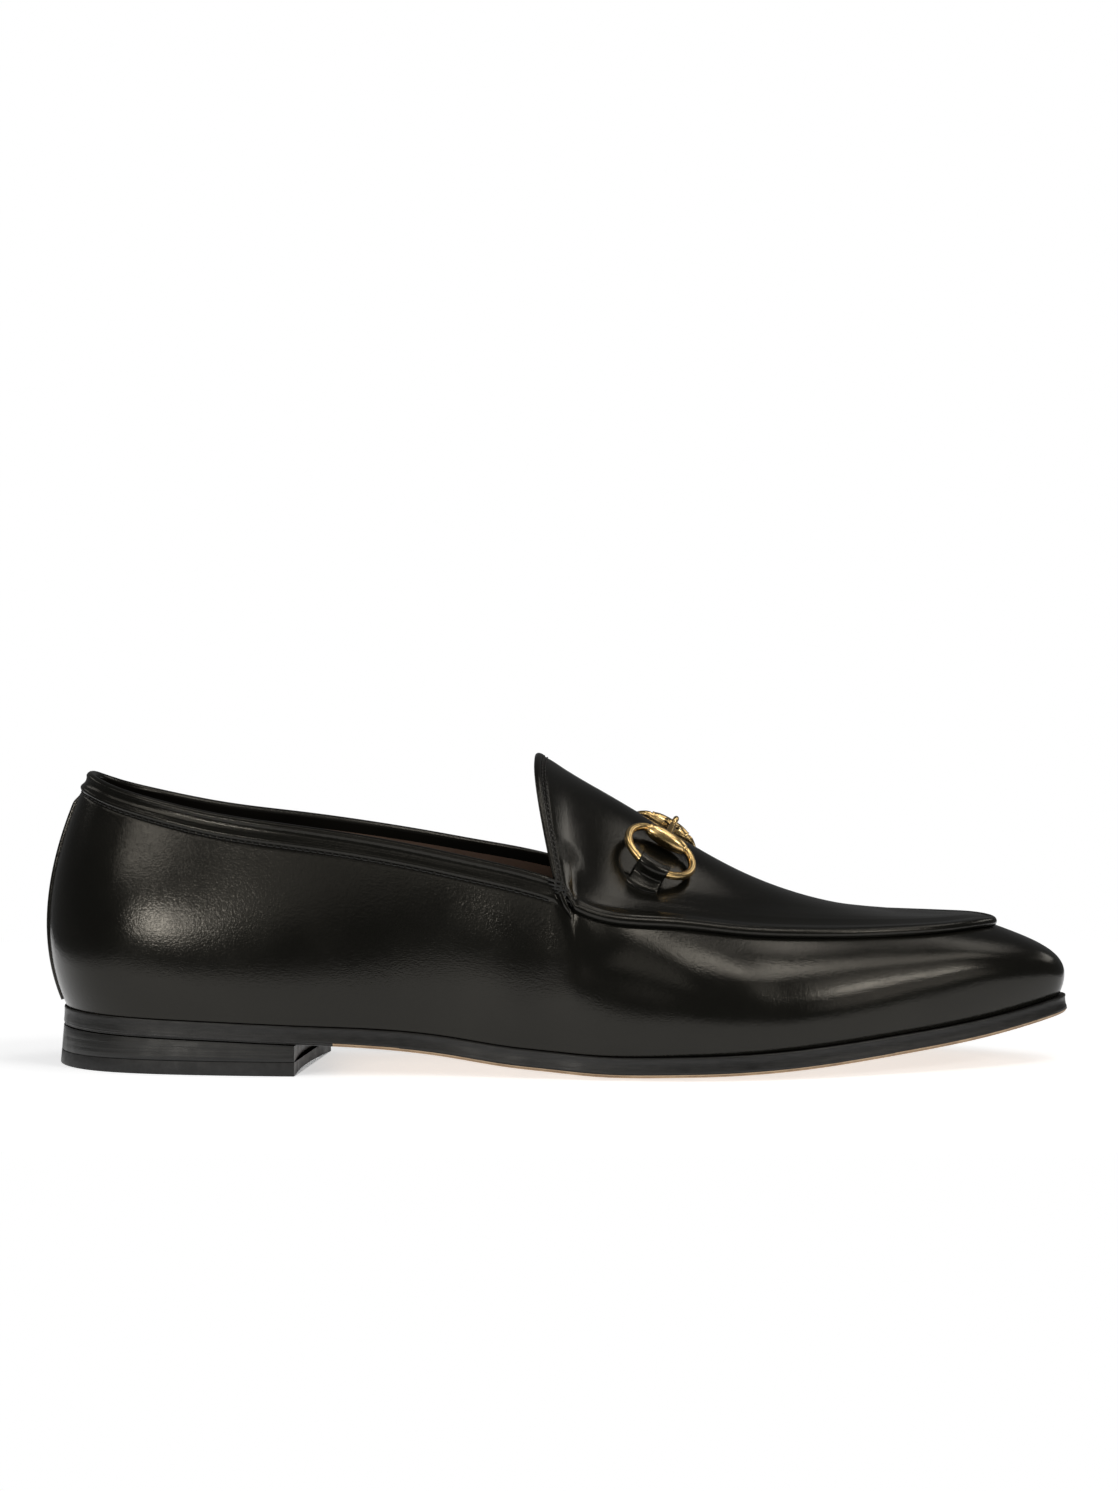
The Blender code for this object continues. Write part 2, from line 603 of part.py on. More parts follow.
def upper(finish):
    """The upper: side wall, collar band, rolled apron edge and apron in one hollow skin, open at the collar
    and underneath."""
    places = column_places()
    lateral_throat = REAR_COLUMNS
    tip = lateral_throat + STEP_COLUMNS + FORE_COLUMNS
    medial_throat = 2 * tip - lateral_throat
    grid = Grid()
    wall, inner_wall = (grid.add(skin) for skin in wall_skins(places, (lateral_throat, medial_throat)))
    grid.quads(wall, closed=True)
    grid.quads(inner_wall[:, ::-1], closed=True)
    grid.quads(np.column_stack([inner_wall[:, 0], wall[:, 0]]), closed=True)
    collar = np.r_[medial_throat : len(places), 0 : lateral_throat + 1]
    grid.quads(np.column_stack([wall[collar, -1], inner_wall[collar, -1]]))

    columns = [np.arange(lateral_throat, tip + 1), np.arange(medial_throat, tip - 1, -1)]
    across = np.linspace(0, 1, APRON_ROWS + 1)
    halves = apron_points(places[columns[0]], places[columns[1]], across)
    normals = apron_normals(places[columns[0]], places[columns[1]], across)
    crest = grid.add(halves[0][:, -1])
    inner_crest = grid.add(halves[0][:, -1] - WALL * unit(normals[0][:, -1] + normals[1][:, -1]))
    for half, normal, hand, column in zip(halves, normals, (1, -1), columns):
        roll = grid.add(edge_roll(places[column])[:, :-1])
        apron = grid.add(half[:, :-1])
        inner_apron = grid.add((half - WALL * normal)[:, :-1])
        skin = np.column_stack([wall[column, -1], roll, apron, crest])
        lining = np.column_stack([inner_wall[column, -1], inner_apron, inner_crest])
        grid.quads(skin[:, ::hand])
        grid.quads(lining[:, ::-hand])
        end_strip(grid, skin[0], lining[0], roll.shape[1] + 1)
    return mesh_object("upper", grid.points, grid.faces, finish)


def plate(name, lower, higher, side_rows, finish):
    """A plate whose faces are ruled from side to side. lower and higher are (outline, height function) pairs
    of closed loops with as many points, and side_rows are loops of points between their rims."""
    grid = Grid()
    half = len(lower[0]) // 2
    rims = []
    for outline, height, turn in ((*lower, 1), (*higher, -1)):
        lateral = outline[: half + 1]
        medial = np.vstack([outline[:1], outline[:half - 1:-1]])
        across = np.linspace(0, 1, SOLE_ROWS_ACROSS + 1)[None, :, None]
        flat = lateral[:, None, :2] * (1 - across) + medial[:, None, :2] * across
        level = height(flat[..., 0], flat[..., 1])
        numbers = grid.add(np.concatenate([flat, level[..., None]], axis=2))
        grid.quads(numbers[:, ::turn])
        rims.append(np.concatenate([numbers[:, 0], numbers[half - 1 : 0 : -1, -1]]))
    loops = [rims[0]] + [grid.add(row) for row in side_rows] + [rims[1]]
    grid.quads(np.column_stack(loops), closed=True)
    return mesh_object(name, grid.points, grid.faces, finish)


def raised(surface, lift):
    """The height function of a surface, this much higher."""

    def height(x, y):
        return surface(x, y) + lift

    return height


def floor_level(x, y):
    return np.zeros(np.shape(x))


def sole_outline(places, outset):
    """The sole's outline moved out by outset, in plan."""
    return LAST(places)[:, :2] + plan_normals(places, 0)[:, :2] * outset


def outsole(finish):
    places = column_places()
    sides = []
    for share, outset in SOLE_SIDE:
        line = sole_outline(places, outset * SOLE_THICKNESS)
        level = sole_bottom(line[:, 0], line[:, 1]) + share * sole_thickness(line[:, 0])
        sides.append(np.column_stack([line, level]))
    lower = (sides[0], sole_bottom)
    higher = (sides[-1], sole_top)
    return plate("outsole", lower, higher, sides[1:-1], finish)


def insole(finish):
    """The sock that lies in the shoe: the sole's curve again, kept clear of the wall."""
    places = column_places()
    foot, top, *_ = wall_frame(places)
    sides = []
    for height in (0, INSOLE_THICKNESS):
        share = (INSOLE_CLIMB * height / np.linalg.norm(top - foot, axis=1))[:, None]
        inside = wall_points(places, share) - (WALL + GAP) * wall_normals(places, share)
        line = inside[:, 0, :2] - plan_normals(places, 0)[:, :2] * INSOLE_CLEARANCE
        sides.append((line, raised(sole_top, GAP + height)))
    return plate("insole", sides[0], sides[1], [], finish)


def heel_outline(outset):
    """The heel in plan, as lateral and medial half of as many points: the sole's outline round the back, and
    a breast line that runs forward to the medial side and is hollowed towards the heel."""
    halves, corners = [], []
    share = np.linspace(0, 1, HEEL_COLUMNS + 1)
    breast_share = np.linspace(0, 0.5, BREAST_COLUMNS + 1)[1:, None]
    for first, breast in ((0.0, HEEL_BREAST_LATERAL), (1.0, HEEL_BREAST_MEDIAL)):
        places = np.interp(breast * LENGTH, *BREAST_READER[int(first)])
        halves.append(sole_outline(first + (places - first) * share, outset))
        corners.append(halves[-1][-1])
    for i in (0, 1):
        line = corners[i] * (1 - breast_share) + corners[1 - i] * breast_share
        line[:, 0] -= BREAST_HOLLOW * np.sin(math.pi * breast_share[:, 0])
        halves[i] = np.vstack([halves[i], line])
    return np.vstack([halves[0], halves[1][-2:0:-1]])


def heel_layer(name, lower, higher, finish):
    """One layer of the heel. Each of its ends is a height function and the outset of its outline."""
    (bottom, bottom_outset), (top, top_outset) = lower, higher
    outlines = heel_outline(bottom_outset), heel_outline(top_outset)
    return plate(name, (outlines[0], bottom), (outlines[1], top), [], finish)


def heel(layer_finish, top_piece_finish):
    """The heel: a rubber top piece on the floor and the leather layers between it and the sole."""
    flare = np.interp(TOP_PIECE_THICKNESS, [0, HEEL_HEIGHT], [HEEL_FLARE, 0])
    joint = raised(floor_level, TOP_PIECE_THICKNESS)
    heel_layer("top_piece", (floor_level, HEEL_FLARE), (joint, flare), top_piece_finish)
    heel_layer("heel_stack", (raised(joint, GAP), flare), (raised(sole_bottom, -GAP), 0), layer_finish)


def rim_of(numbers):
    """The numbers round the rim of a grid of point numbers."""
    return np.concatenate([numbers[0, :-1], numbers[:-1, -1], numbers[-1, :0:-1], numbers[:0:-1, 0]])


def back_strip(finish):
    """The narrow strip over the seam up the back of the heel, cut between two shells of the wall."""
    foot, top, *_ = wall_frame(np.zeros(1))
    length = np.linalg.norm(top - foot)
    half = BACK_STRIP_WIDTH / 2 / OUTLINE_LENGTH
    places = np.linspace(-half, half, STRIP_COLUMNS)
    shares = np.linspace(STRIP_START, 1 - STRIP_END * COLLAR_BAND_WIDTH / length, STRIP_ROWS)
    skin, normal = wall_points(places, shares), wall_normals(places, shares)
    grid = Grid()
    low, high = grid.add(skin + GAP * normal), grid.add(skin + (GAP + BACK_STRIP_THICKNESS) * normal)
    grid.quads(low[:, ::-1])
    grid.quads(high)
    grid.quads(np.column_stack([rim_of(low), rim_of(high)]), closed=True)
    return mesh_object("back_strip", grid.points, grid.faces, finish)


class Surface:
    """The upper's outer face as something to rest hardware on."""

    def __init__(self, body):
        self.tree = BVHTree.FromObject(body, bpy.context.evaluated_depsgraph_get())

    def below(self, point, down):
        """The point of the surface that lies along down from well above the point."""
        hit = self.tree.ray_cast(Vector(point) - Vector(down) * UPPER_HEIGHT / 2, Vector(down))[0]
        return np.array(hit)

    def clearance(self, points):
        """How near the surface comes to any of the points."""
        return min(self.tree.find_nearest(Vector(p))[3] for p in points)


def tube(name, centres, sideways, radii, finish, closed=False):
    """A round bar along centres. sideways is one direction across it, and radii holds one radius a centre."""
    centres = np.asarray(centres, float)
    if closed:
        along = unit(np.roll(centres, -1, axis=0) - np.roll(centres, 1, axis=0))
    else:
        along = unit(np.gradient(centres, axis=0))
    across = unit(np.cross(along, np.broadcast_to(sideways, centres.shape)))
    upward = np.cross(across, along)
    angles = np.linspace(0, 2 * math.pi, TUBE_SIDES, endpoint=False)[None, :, None]
    radii = np.broadcast_to(radii, len(centres))[:, None, None]
    rings = centres[:, None] + radii * (np.cos(angles) * across[:, None] + np.sin(angles) * upward[:, None])
    grid = Grid()
    numbers = grid.add(rings)
    grid.quads(np.column_stack([numbers, numbers[:, :1]]), closed=closed)
    if not closed:
        grid.face(*numbers[0])
        grid.face(*numbers[-1][::-1])
    return mesh_object(name, grid.points, grid.faces, finish)


def join(target, *others):
    """Joins solids that overlap the target into it."""
    for other in others:
        union = target.modifiers.new("join", "BOOLEAN")
        union.operation, union.solver, union.object = "UNION", "EXACT", other
    settle(target, others)


def cut(target, *others):
    for other in others:
        difference = target.modifiers.new("cut", "BOOLEAN")
        difference.operation, difference.solver, difference.object = "DIFFERENCE", "EXACT", other
    settle(target, others)


def settle(target, used):
    """Writes the modifiers into the mesh and removes the solids that they used."""
    graph = bpy.context.evaluated_depsgraph_get()
    mesh = bpy.data.meshes.new_from_object(target.evaluated_get(graph))
    target.modifiers.clear()
    target.data = mesh
    for other in used:
        bpy.data.objects.remove(other)


def bit_axes(hand, surface):
    """Where one side of the bit sits: the crest's point under it, and the directions along the crest, up off it
    and out to this side."""
    shares = BIT_PLACE + np.array([-BIT_SPAN, BIT_SPAN])
    sides = [throat + (TIP - throat) * shares for throat in (LATERAL_THROAT, MEDIAL_THROAT)]
    line = apron_points(*sides, [1.0])[0][:, 0]
    along = unit((line[1] - line[0]) * (1, 0, 1))
    up = np.cross(along, [0.0, 1.0, 0.0])
    middle = line.mean(axis=0) + np.array([0.0, BIT_SHIFT, 0.0])
    return surface.below(middle, -up), along, up, np.array([0.0, hand, 0.0])


def bit_side(hand, surface, name, brass, leather):
    """One side of the snaffle bit: the bar with its barrel and eye, the ring through the barrel and the
    leather loop that sews the ring down. hand is -1 on the lateral side and 1 on the medial side."""
    crest, along, up, side = bit_axes(hand, surface)
    half = BARREL_LENGTH / 2
    lift = BARREL_RADIUS + GAP
    barrel = surface.below(crest + side * BARREL_SPREAD / 2, -up) + lift * up
    reach = np.linspace(-half, half, SEAT_POINTS)
    while surface.clearance([barrel + r * along for r in reach]) < lift:
        barrel = barrel + SEAT_STEP * up

    eye = crest + (EYE_RADIUS + EYE_WIRE + GAP) * up + side * EYE_RADIUS / 2
    # One eye stands across the shoe and the other lies level, so that they link
    eye_up = up if hand < 0 else along
    turn = np.linspace(0, 2 * math.pi, EYE_STEPS, endpoint=False)[:, None]
    eye_centres = eye + EYE_RADIUS * (np.cos(turn) * side + np.sin(turn) * eye_up)
    eye_ring = tube("eye", eye_centres, np.cross(side, eye_up), EYE_WIRE, brass, closed=True)

    profile = np.array([(-a, b) for a, b in BARREL_PROFILE[:0:-1]] + BARREL_PROFILE)
    barrel_centres = barrel + half * profile[:, :1] * along
    barrel_radii = BARREL_RADIUS + (BARREL_END_RADIUS - BARREL_RADIUS) * profile[:, 1]
    bar = tube(name + "_bar", barrel_centres, up, barrel_radii, brass)
    tip = eye + side * (EYE_RADIUS + SHANK_SINK * EYE_WIRE)
    shank_share = np.linspace(SHANK_START, 1, SHANK_RINGS)[:, None]
    shank_radii = BAR_ROOT_RADIUS + (BAR_TIP_RADIUS - BAR_ROOT_RADIUS) * shank_share[:, 0]
    shank = tube("shank", barrel + (tip - barrel) * shank_share, along, shank_radii, brass)
    join(bar, shank, eye_ring)
    bore_ends = [barrel - BORE_REACH * half * along, barrel + BORE_REACH * half * along]
    cut(bar, tube("bore", bore_ends, up, RING_WIRE + GAP, brass))

    outward = ring_tilt(barrel, along, up, side, surface)
    normal = np.cross(along, outward)
    normal = normal * np.sign(normal[2])
    centres = ring_centres(barrel, along, outward)
    tube(name + "_ring", centres, normal, RING_WIRE, brass, closed=True)
    strap_loop(name + "_loop", centres, barrel, (along, outward, normal), surface, leather)


def ring_tilt(barrel, along, up, side, surface):
    """The way out from the barrel in which the ring lies as flat on the flank as its loop lets it."""
    far_lift = RING_WIRE + 2 * GAP + LOOP_THICKNESS
    outward = side
    for tilt in np.radians(np.arange(STEEPEST_TILT, -1, -1)):
        outward = side * math.cos(tilt) - up * math.sin(tilt)
        centres = ring_centres(barrel, along, outward)
        far = centres[(centres - barrel) @ outward > RING_FAR_PART * RING_DEPTH]
        if surface.clearance(centres) > RING_WIRE + GAP and surface.clearance(far) > far_lift:
            break
    return outward


def ring_centres(barrel, along, outward):
    """The centre line of a ring: an oval, cut straight where it runs through its barrel."""
    chord = math.sqrt(1 - (RING_CHORD / RING_LENGTH) ** 2)
    across = RING_DEPTH / (1 + chord)
    start = math.acos(-chord)
    turn = np.linspace(-start, start, RING_STEPS)[:, None]
    arc = barrel + outward * across * (np.cos(turn) + chord) + along * RING_LENGTH / 2 * np.sin(turn)
    rest = np.linspace(arc[-1], arc[0], CHORD_STEPS)[1:-1]
    return np.vstack([arc, rest])


def strap_loop(name, centres, barrel, axes, surface, finish):
    """A leather loop round the far side of a ring, with its tail flat on the apron."""
    along, outward, normal = axes
    inner_radius = RING_WIRE + GAP
    outer_radius = inner_radius + LOOP_THICKNESS
    far = centres[(centres - barrel) @ outward > RING_DEPTH / 2]
    far = far[np.argsort((far - barrel) @ along)]
    reach = (far - barrel) @ along
    inner_rings, outer_rings = [], []
    for station in np.linspace(-LOOP_WIDTH / 2, LOOP_WIDTH / 2, LOOP_STEPS):
        centre = np.array([np.interp(station, reach, far[:, i]) for i in range(3)])
        inner, outer = [], []
        for angle, width, height in LOOP_SECTION:
            turn = math.radians(angle)
            inner.append(centre + inner_radius * (math.cos(turn) * outward + math.sin(turn) * normal))
            if height is None:
                outer.append(centre + outer_radius * (math.cos(turn) * outward + math.sin(turn) * normal))
                continue
            place = centre + outward * (width * outer_radius + (width > 1) * LOOP_TAIL * (width - 1))
            ground = surface.below(place, -normal)
            outer.append(ground + normal * (GAP + height * LOOP_THICKNESS))
        inner_rings.append(inner)
        outer_rings.append(outer)
    grid = Grid()
    inner, outer = grid.add(inner_rings), grid.add(outer_rings)
    inner, outer = (np.column_stack([n, n[:, :1]]) for n in (inner, outer))
    grid.quads(inner[:, ::-1])
    grid.quads(outer)
    for end, step in ((0, -1), (-1, 1)):
        grid.quads(np.array([inner[end], outer[end]])[::step])
    return mesh_object(name, grid.points, grid.faces, finish)


def centre_on_floor():
    """Moves the shoe so that the middle of its bounding box stands on the origin."""
    bodies = list(PARTS.objects)
    points = np.array([tuple(v.co) for body in bodies for v in body.data.vertices])
    shift = -(points.max(axis=0) + points.min(axis=0)) / 2
    shift[2] = 0
    for body in bodies:
        for vertex in body.data.vertices:
            vertex.co += Vector(shift)
    return shift


def clear_scene():
    for old in list(bpy.data.objects):
        bpy.data.objects.remove(old)


clear_scene()
PARTS = bpy.data.collections.new("bit loafer")
bpy.context.scene.collection.children.link(PARTS)
UPPER_LEATHER = material("upper_leather", (0.012, 0.012, 0.011), 0.32)
SOLE_LEATHER = material("sole_leather", (0.015, 0.014, 0.013), 0.40)
HEEL_LEATHER = material("heel_leather", (0.015, 0.015, 0.014), 0.40)
TOP_PIECE_RUBBER = material("top_piece_rubber", (0.020, 0.020, 0.020), 0.60)
LINING_LEATHER = material("lining_leather", (0.030, 0.020, 0.018), 0.50)
BRASS = material("brass", (0.78, 0.60, 0.28), 0.25, 1.0)

UPPER = upper(UPPER_LEATHER)
back_strip(UPPER_LEATHER)
insole(LINING_LEATHER)
outsole(SOLE_LEATHER)
heel(HEEL_LEATHER, TOP_PIECE_RUBBER)
for side_name, side_hand in (("lateral", -1), ("medial", 1)):
    bit_side(side_hand, Surface(UPPER), side_name, BRASS, UPPER_LEATHER)
SHIFT = centre_on_floor()
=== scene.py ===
"""The looks of the bit loafer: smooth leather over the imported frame, its seams and stitches, the tan sole,
the brass bit, a pale table and soft studio light. The shoe's shape comes from the same table as its CAD."""

import json
import math

import bmesh
import bpy
import numpy as np
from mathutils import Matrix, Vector
from mathutils.bvhtree import BVHTree

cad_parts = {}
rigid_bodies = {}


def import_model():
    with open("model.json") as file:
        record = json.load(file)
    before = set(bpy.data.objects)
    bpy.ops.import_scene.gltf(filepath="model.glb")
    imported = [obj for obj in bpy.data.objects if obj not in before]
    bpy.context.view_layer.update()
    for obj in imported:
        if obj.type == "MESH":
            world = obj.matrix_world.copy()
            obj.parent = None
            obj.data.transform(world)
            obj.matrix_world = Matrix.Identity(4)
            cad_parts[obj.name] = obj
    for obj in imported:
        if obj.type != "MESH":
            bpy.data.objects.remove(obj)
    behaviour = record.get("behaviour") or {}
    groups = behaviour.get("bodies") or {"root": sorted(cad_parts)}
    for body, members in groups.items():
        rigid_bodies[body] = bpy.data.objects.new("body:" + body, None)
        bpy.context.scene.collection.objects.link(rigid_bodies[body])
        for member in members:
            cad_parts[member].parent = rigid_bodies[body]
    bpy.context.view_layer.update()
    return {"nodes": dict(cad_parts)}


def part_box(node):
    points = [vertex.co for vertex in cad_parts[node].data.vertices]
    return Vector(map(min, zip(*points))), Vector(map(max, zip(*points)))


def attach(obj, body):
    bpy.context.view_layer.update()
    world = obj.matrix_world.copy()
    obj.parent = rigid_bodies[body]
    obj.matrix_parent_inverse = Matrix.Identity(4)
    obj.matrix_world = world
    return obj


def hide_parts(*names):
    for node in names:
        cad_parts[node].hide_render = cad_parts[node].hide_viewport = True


for old in list(bpy.data.objects):
    bpy.data.objects.remove(old)
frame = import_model()

MM = 0.001
UP = np.array([0.0, 0.0, 1.0])
ALONG = np.array([1.0, 0.0, 0.0])
ACROSS = np.array([0.0, 1.0, 0.0])
DEGREE = math.pi / 180

# Driving sizes, as in the CAD
LENGTH = 262 * MM
BALL_WIDTH = 84 * MM
UPPER_HEIGHT = 72 * MM
HEEL_HEIGHT = 10.3 * MM
TOE_SPRING = 13.2 * MM
BALL_CROWN = 1.5 * MM
WALL = 2.0 * MM
SOLE_THICKNESS = 5.2 * MM
INSOLE_THICKNESS = 2.4 * MM
TOP_PIECE_THICKNESS = 3.6 * MM
GAP = 0.3 * MM
COLLAR_BAND_WIDTH = 5.2 * MM
COLLAR_BAND_STEP = 0.5 * MM
EDGE_ROLL_SIZE = 1.25 * MM
BACK_STRIP_WIDTH = 3.0 * MM
BACK_STRIP_THICKNESS = 0.6 * MM
WELT_AT_HEEL = 0.6 * MM
WELT_AT_FOREPART = 2.0 * MM
HEEL_BREAST_LATERAL = 0.235
HEEL_BREAST_MEDIAL = 0.262
HEEL_FLARE = 0.9 * MM
BREAST_HOLLOW = 1.6 * MM
BIT_PLACE = 0.243
BIT_SHIFT = -3.6 * MM
BARREL_SPREAD = 21.0 * MM
RING_LENGTH = 18.6 * MM
RING_DEPTH = 14.8 * MM
RING_CHORD = 12.4 * MM
RING_WIRE = 1.05 * MM
BARREL_LENGTH = 11.0 * MM
BARREL_RADIUS = 2.15 * MM
EYE_RADIUS = 1.75 * MM
EYE_WIRE = 0.72 * MM
BAR_ROOT_RADIUS = 1.25 * MM
BAR_TIP_RADIUS = 0.85 * MM
LOOP_WIDTH = 8.2 * MM
LOOP_THICKNESS = 0.9 * MM
LOOP_TAIL = 1.2 * MM
APRON_FULLNESS = 0.42

# The last, as in the CAD: along is a share of LENGTH, across of BALL_WIDTH, heights are shares of
# UPPER_HEIGHT over the sole's rim, leans and shoulder are degrees.
# Columns: foot along, lateral and medial; top along, lateral and medial; height lateral and medial; lean out
# and in; fullness low and high; crest; ridge; shoulder; crown; sweep
STATIONS = [
    (0, 0, 0, 0.027, 0, 0, 0.847, 0.847, 24, 26, 0.37, 0.3, 1.06, 0.07, 60, 0.52, -0.015),
    (0.012, 0.15, 0.143, 0.033, 0.09, 0.084, 0.838, 0.838, 23, 24, 0.37, 0.3, 1.06, 0.07, 60, 0.52, -0.015),
    (0.038, 0.25, 0.228, 0.052, 0.167, 0.149, 0.815, 0.811, 21, 20, 0.37, 0.31, 1.06, 0.07, 60, 0.52, -0.015),
    (0.084, 0.322, 0.274, 0.088, 0.238, 0.208, 0.785, 0.777, 18, 16, 0.36, 0.33, 1.06, 0.07, 60, 0.52, -0.015),
    (0.153, 0.369, 0.284, 0.153, 0.304, 0.244, 0.742, 0.733, 16, 12, 0.35, 0.35, 1.06, 0.07, 60, 0.52, -0.015),
    (0.24, 0.396, 0.246, 0.237, 0.355, 0.268, 0.711, 0.702, 14, 10, 0.35, 0.35, 1.06, 0.07, 60, 0.52, -0.015),
    (0.324, 0.399, 0.206, 0.321, 0.381, 0.286, 0.678, 0.669, 13, 10, 0.35, 0.35, 1.06, 0.07, 60, 0.52, -0.015),
    (0.4, 0.418, 0.21, 0.397, 0.414, 0.321, 0.654, 0.647, 12, 10, 0.35, 0.35, 1.06, 0.07, 60, 0.52, -0.015),
    (0.45, 0.456, 0.248, 0.447, 0.438, 0.354, 0.64, 0.636, 12, 12, 0.35, 0.35, 1.06, 0.07, 60, 0.52, -0.015),
    (0.492, 0.48, 0.295, 0.489, 0.458, 0.381, 0.612, 0.612, 12, 14, 0.35, 0.35, 1.015, 0.07, 58, 0.46, -0.015),
    (0.515, 0.498, 0.327, 0.508, 0.46, 0.39, 0.52, 0.52, 13, 20, 0.37, 0.35, 0.958, 0.072, 42, 0.42, -0.006),
    (0.553, 0.518, 0.372, 0.538, 0.444, 0.385, 0.483, 0.483, 14, 28, 0.38, 0.35, 0.888, 0.074, 26, 0.38, 0),
    (0.63, 0.536, 0.442, 0.607, 0.408, 0.357, 0.453, 0.453, 18, 42, 0.42, 0.35, 0.737, 0.072, 15, 0.35, 0),
    (0.695, 0.513, 0.46, 0.668, 0.369, 0.329, 0.418, 0.418, 19, 47, 0.42, 0.36, 0.606, 0.058, 11, 0.37, 0),
    (0.763, 0.45, 0.432, 0.729, 0.327, 0.3, 0.389, 0.395, 20, 52, 0.42, 0.36, 0.505, 0.038, 9, 0.41, 0),
    (0.832, 0.357, 0.362, 0.786, 0.277, 0.267, 0.364, 0.378, 20, 54, 0.42, 0.4, 0.436, 0.02, 8, 0.46, 0),
    (0.897, 0.261, 0.294, 0.84, 0.212, 0.224, 0.343, 0.357, 21, 58, 0.42, 0.46, 0.39, 0.01, 6, 0.46, 0),
    (0.947, 0.174, 0.217, 0.882, 0.143, 0.167, 0.328, 0.338, 21, 64, 0.41, 0.54, 0.367, 0.004, 5, 0.46, 0),
    (0.981, 0.099, 0.135, 0.91, 0.065, 0.107, 0.317, 0.322, 22, 68, 0.41, 0.6, 0.352, 0.001, 4, 0.46, 0),
    (0.995, 0.049, 0.085, 0.9205, 0.019, 0.067, 0.31, 0.312, 24, 70, 0.42, 0.63, 0.342, 0, 3, 0.46, 0),
    (1, -0.018, 0.018, 0.924, -0.024, 0.024, 0.307, 0.307, 24, 70, 0.42, 0.64, 0.337, 0, 3, 0.46, 0),
]
LATERAL_COLUMNS = [0, 1, 3, 4, 6, *range(8, 17)]
MEDIAL_COLUMNS = [0, 2, 3, 5, 7, *range(8, 17)]
THROAT, SEAM_START, TOE_TIP = 9, 10, 20

# The sole along its middle, as in the CAD: share of the length, then its height as shares of the heel's, the
# toe spring's and the ball crown's, and its thickness
SOLE_ROWS = [
    (0, 1, 0, 0, 0.88),
    (0.075, 0.92, 0, 0, 0.88),
    (0.15, 0.86, 0, 0.03, 0.88),
    (0.24, 0.76, 0, 0.1, 0.9),
    (0.33, 0.61, 0, 0.2, 0.97),
    (0.385, 0.43, 0, 0.32, 1),
    (0.435, 0.22, 0, 0.52, 1),
    (0.485, 0.06, 0, 0.8, 1),
    (0.535, -0.06, 0, 1, 1),
    (0.6, 0, -0.045, 1, 1),
    (0.66, 0, -0.01, 0.95, 1),
    (0.73, 0, 0.09, 0.8, 1),
    (0.82, 0, 0.31, 0.55, 0.97),
    (0.92, 0, 0.625, 0.28, 0.92),
    (1, 0, 1, 0, 0.88),
]

# The sole's side from its lower to its upper rim: share of the thickness, and outset in sole thicknesses.
# It is tan below TAN_SHARE from TAN_FROM on, a share of the length, and nearly flush over the heel.
SOLE_SIDE = [(0.00, -0.15), (0.02, -0.10), (0.06, -0.055), (0.075, -0.085), (0.09, -0.04), (0.15, 0.005),
             (0.17, 0.0), (0.19, -0.02), (0.22, -0.005), (0.32, -0.03), (0.45, -0.07), (0.62, -0.09),
             (0.80, -0.10), (0.90, -0.08), (0.95, -0.09), (1.00, -0.16)]
TAN_SHARE = 0.155
TAN_FROM = 0.27
SIDE_AT_HEEL = 0.3

# The collar's band: distance below the top line in band widths, and how far it stands out in band steps
BAND_RELIEF = [
    (1.60, 0.0), (1.30, 0.0), (1.19, -0.08), (1.13, -0.60), (1.07, -0.45), (1.02, 0.45), (0.94, 1.25),
    (0.84, 1.45), (0.74, 0.95), (0.62, 0.35), (0.46, 0.20), (0.32, 0.45), (0.20, 1.05), (0.10, 1.40),
    (0.0, 1.3),
]
# The groove under the band, in band widths below the top line
COLLAR_GROOVE = 1.11
# The same across the tongue's rear edge, in millimetres from it: a folded hem, then two rows of stitches
HEM_RELIEF = [(0.0, 0.04), (0.3, 0.16), (0.8, 0.24), (1.2, 0.16), (1.55, -0.14), (1.95, 0.04), (2.3, -0.02),
              (2.6, -0.13), (3.0, 0.02), (4.2, 0.05), (8.0, 0.0)]
HEM_STITCHES = (1.6 * MM, 2.6 * MM)
HEM_THINNING = 0.5
# And across the apron from its rolled edge inwards: a seam line, a soft valley and the shoulder beyond it
APRON_RELIEF = [(0.0, 0.0), (0.35, -0.12), (0.8, -0.06), (1.8, -0.26), (3.2, -0.34), (5.0, -0.18),
                (7.5, 0.06), (10.5, 0.10), (15.0, 0.0)]
# The apron's rolled edge, from the wall over the roll: down the wall and out of it, in roll sizes
EDGE_ROLL = [(0.45, -0.30), (0.78, -0.02), (0.98, 0.32), (0.98, 0.75), (0.84, 1.15), (0.50, 1.50),
             (0.02, 1.64), (-0.44, 1.50), (-0.72, 1.24), (-1.30, 1.12)]

# The insole's edge from the sole up: share of its thickness, and how far in, in thicknesses
INSOLE_EDGE = [(0.0, 0.0), (0.55, 0.0), (0.8, 0.08), (0.94, 0.28), (1.0, 0.7)]
# Where the heel's leather layers meet, as shares of its height
HEEL_LINES = (0.30, 0.62)
HEEL_LINE_WIDTH, HEEL_LINE_DEPTH = 0.04, 0.02
# How the heel's and its top piece's sides start and end: share of the height, and outset in millimetres
HEEL_START, HEEL_END = [(0.0, -0.1), (0.02, -0.02)], [(0.97, 0.0), (1.0, -0.05)]
TOP_PIECE_SIDE = [(0.0, -0.2), (0.03, -0.04), (0.06, 0.0), (0.94, 0.0), (0.98, -0.03), (1.0, -0.1)]
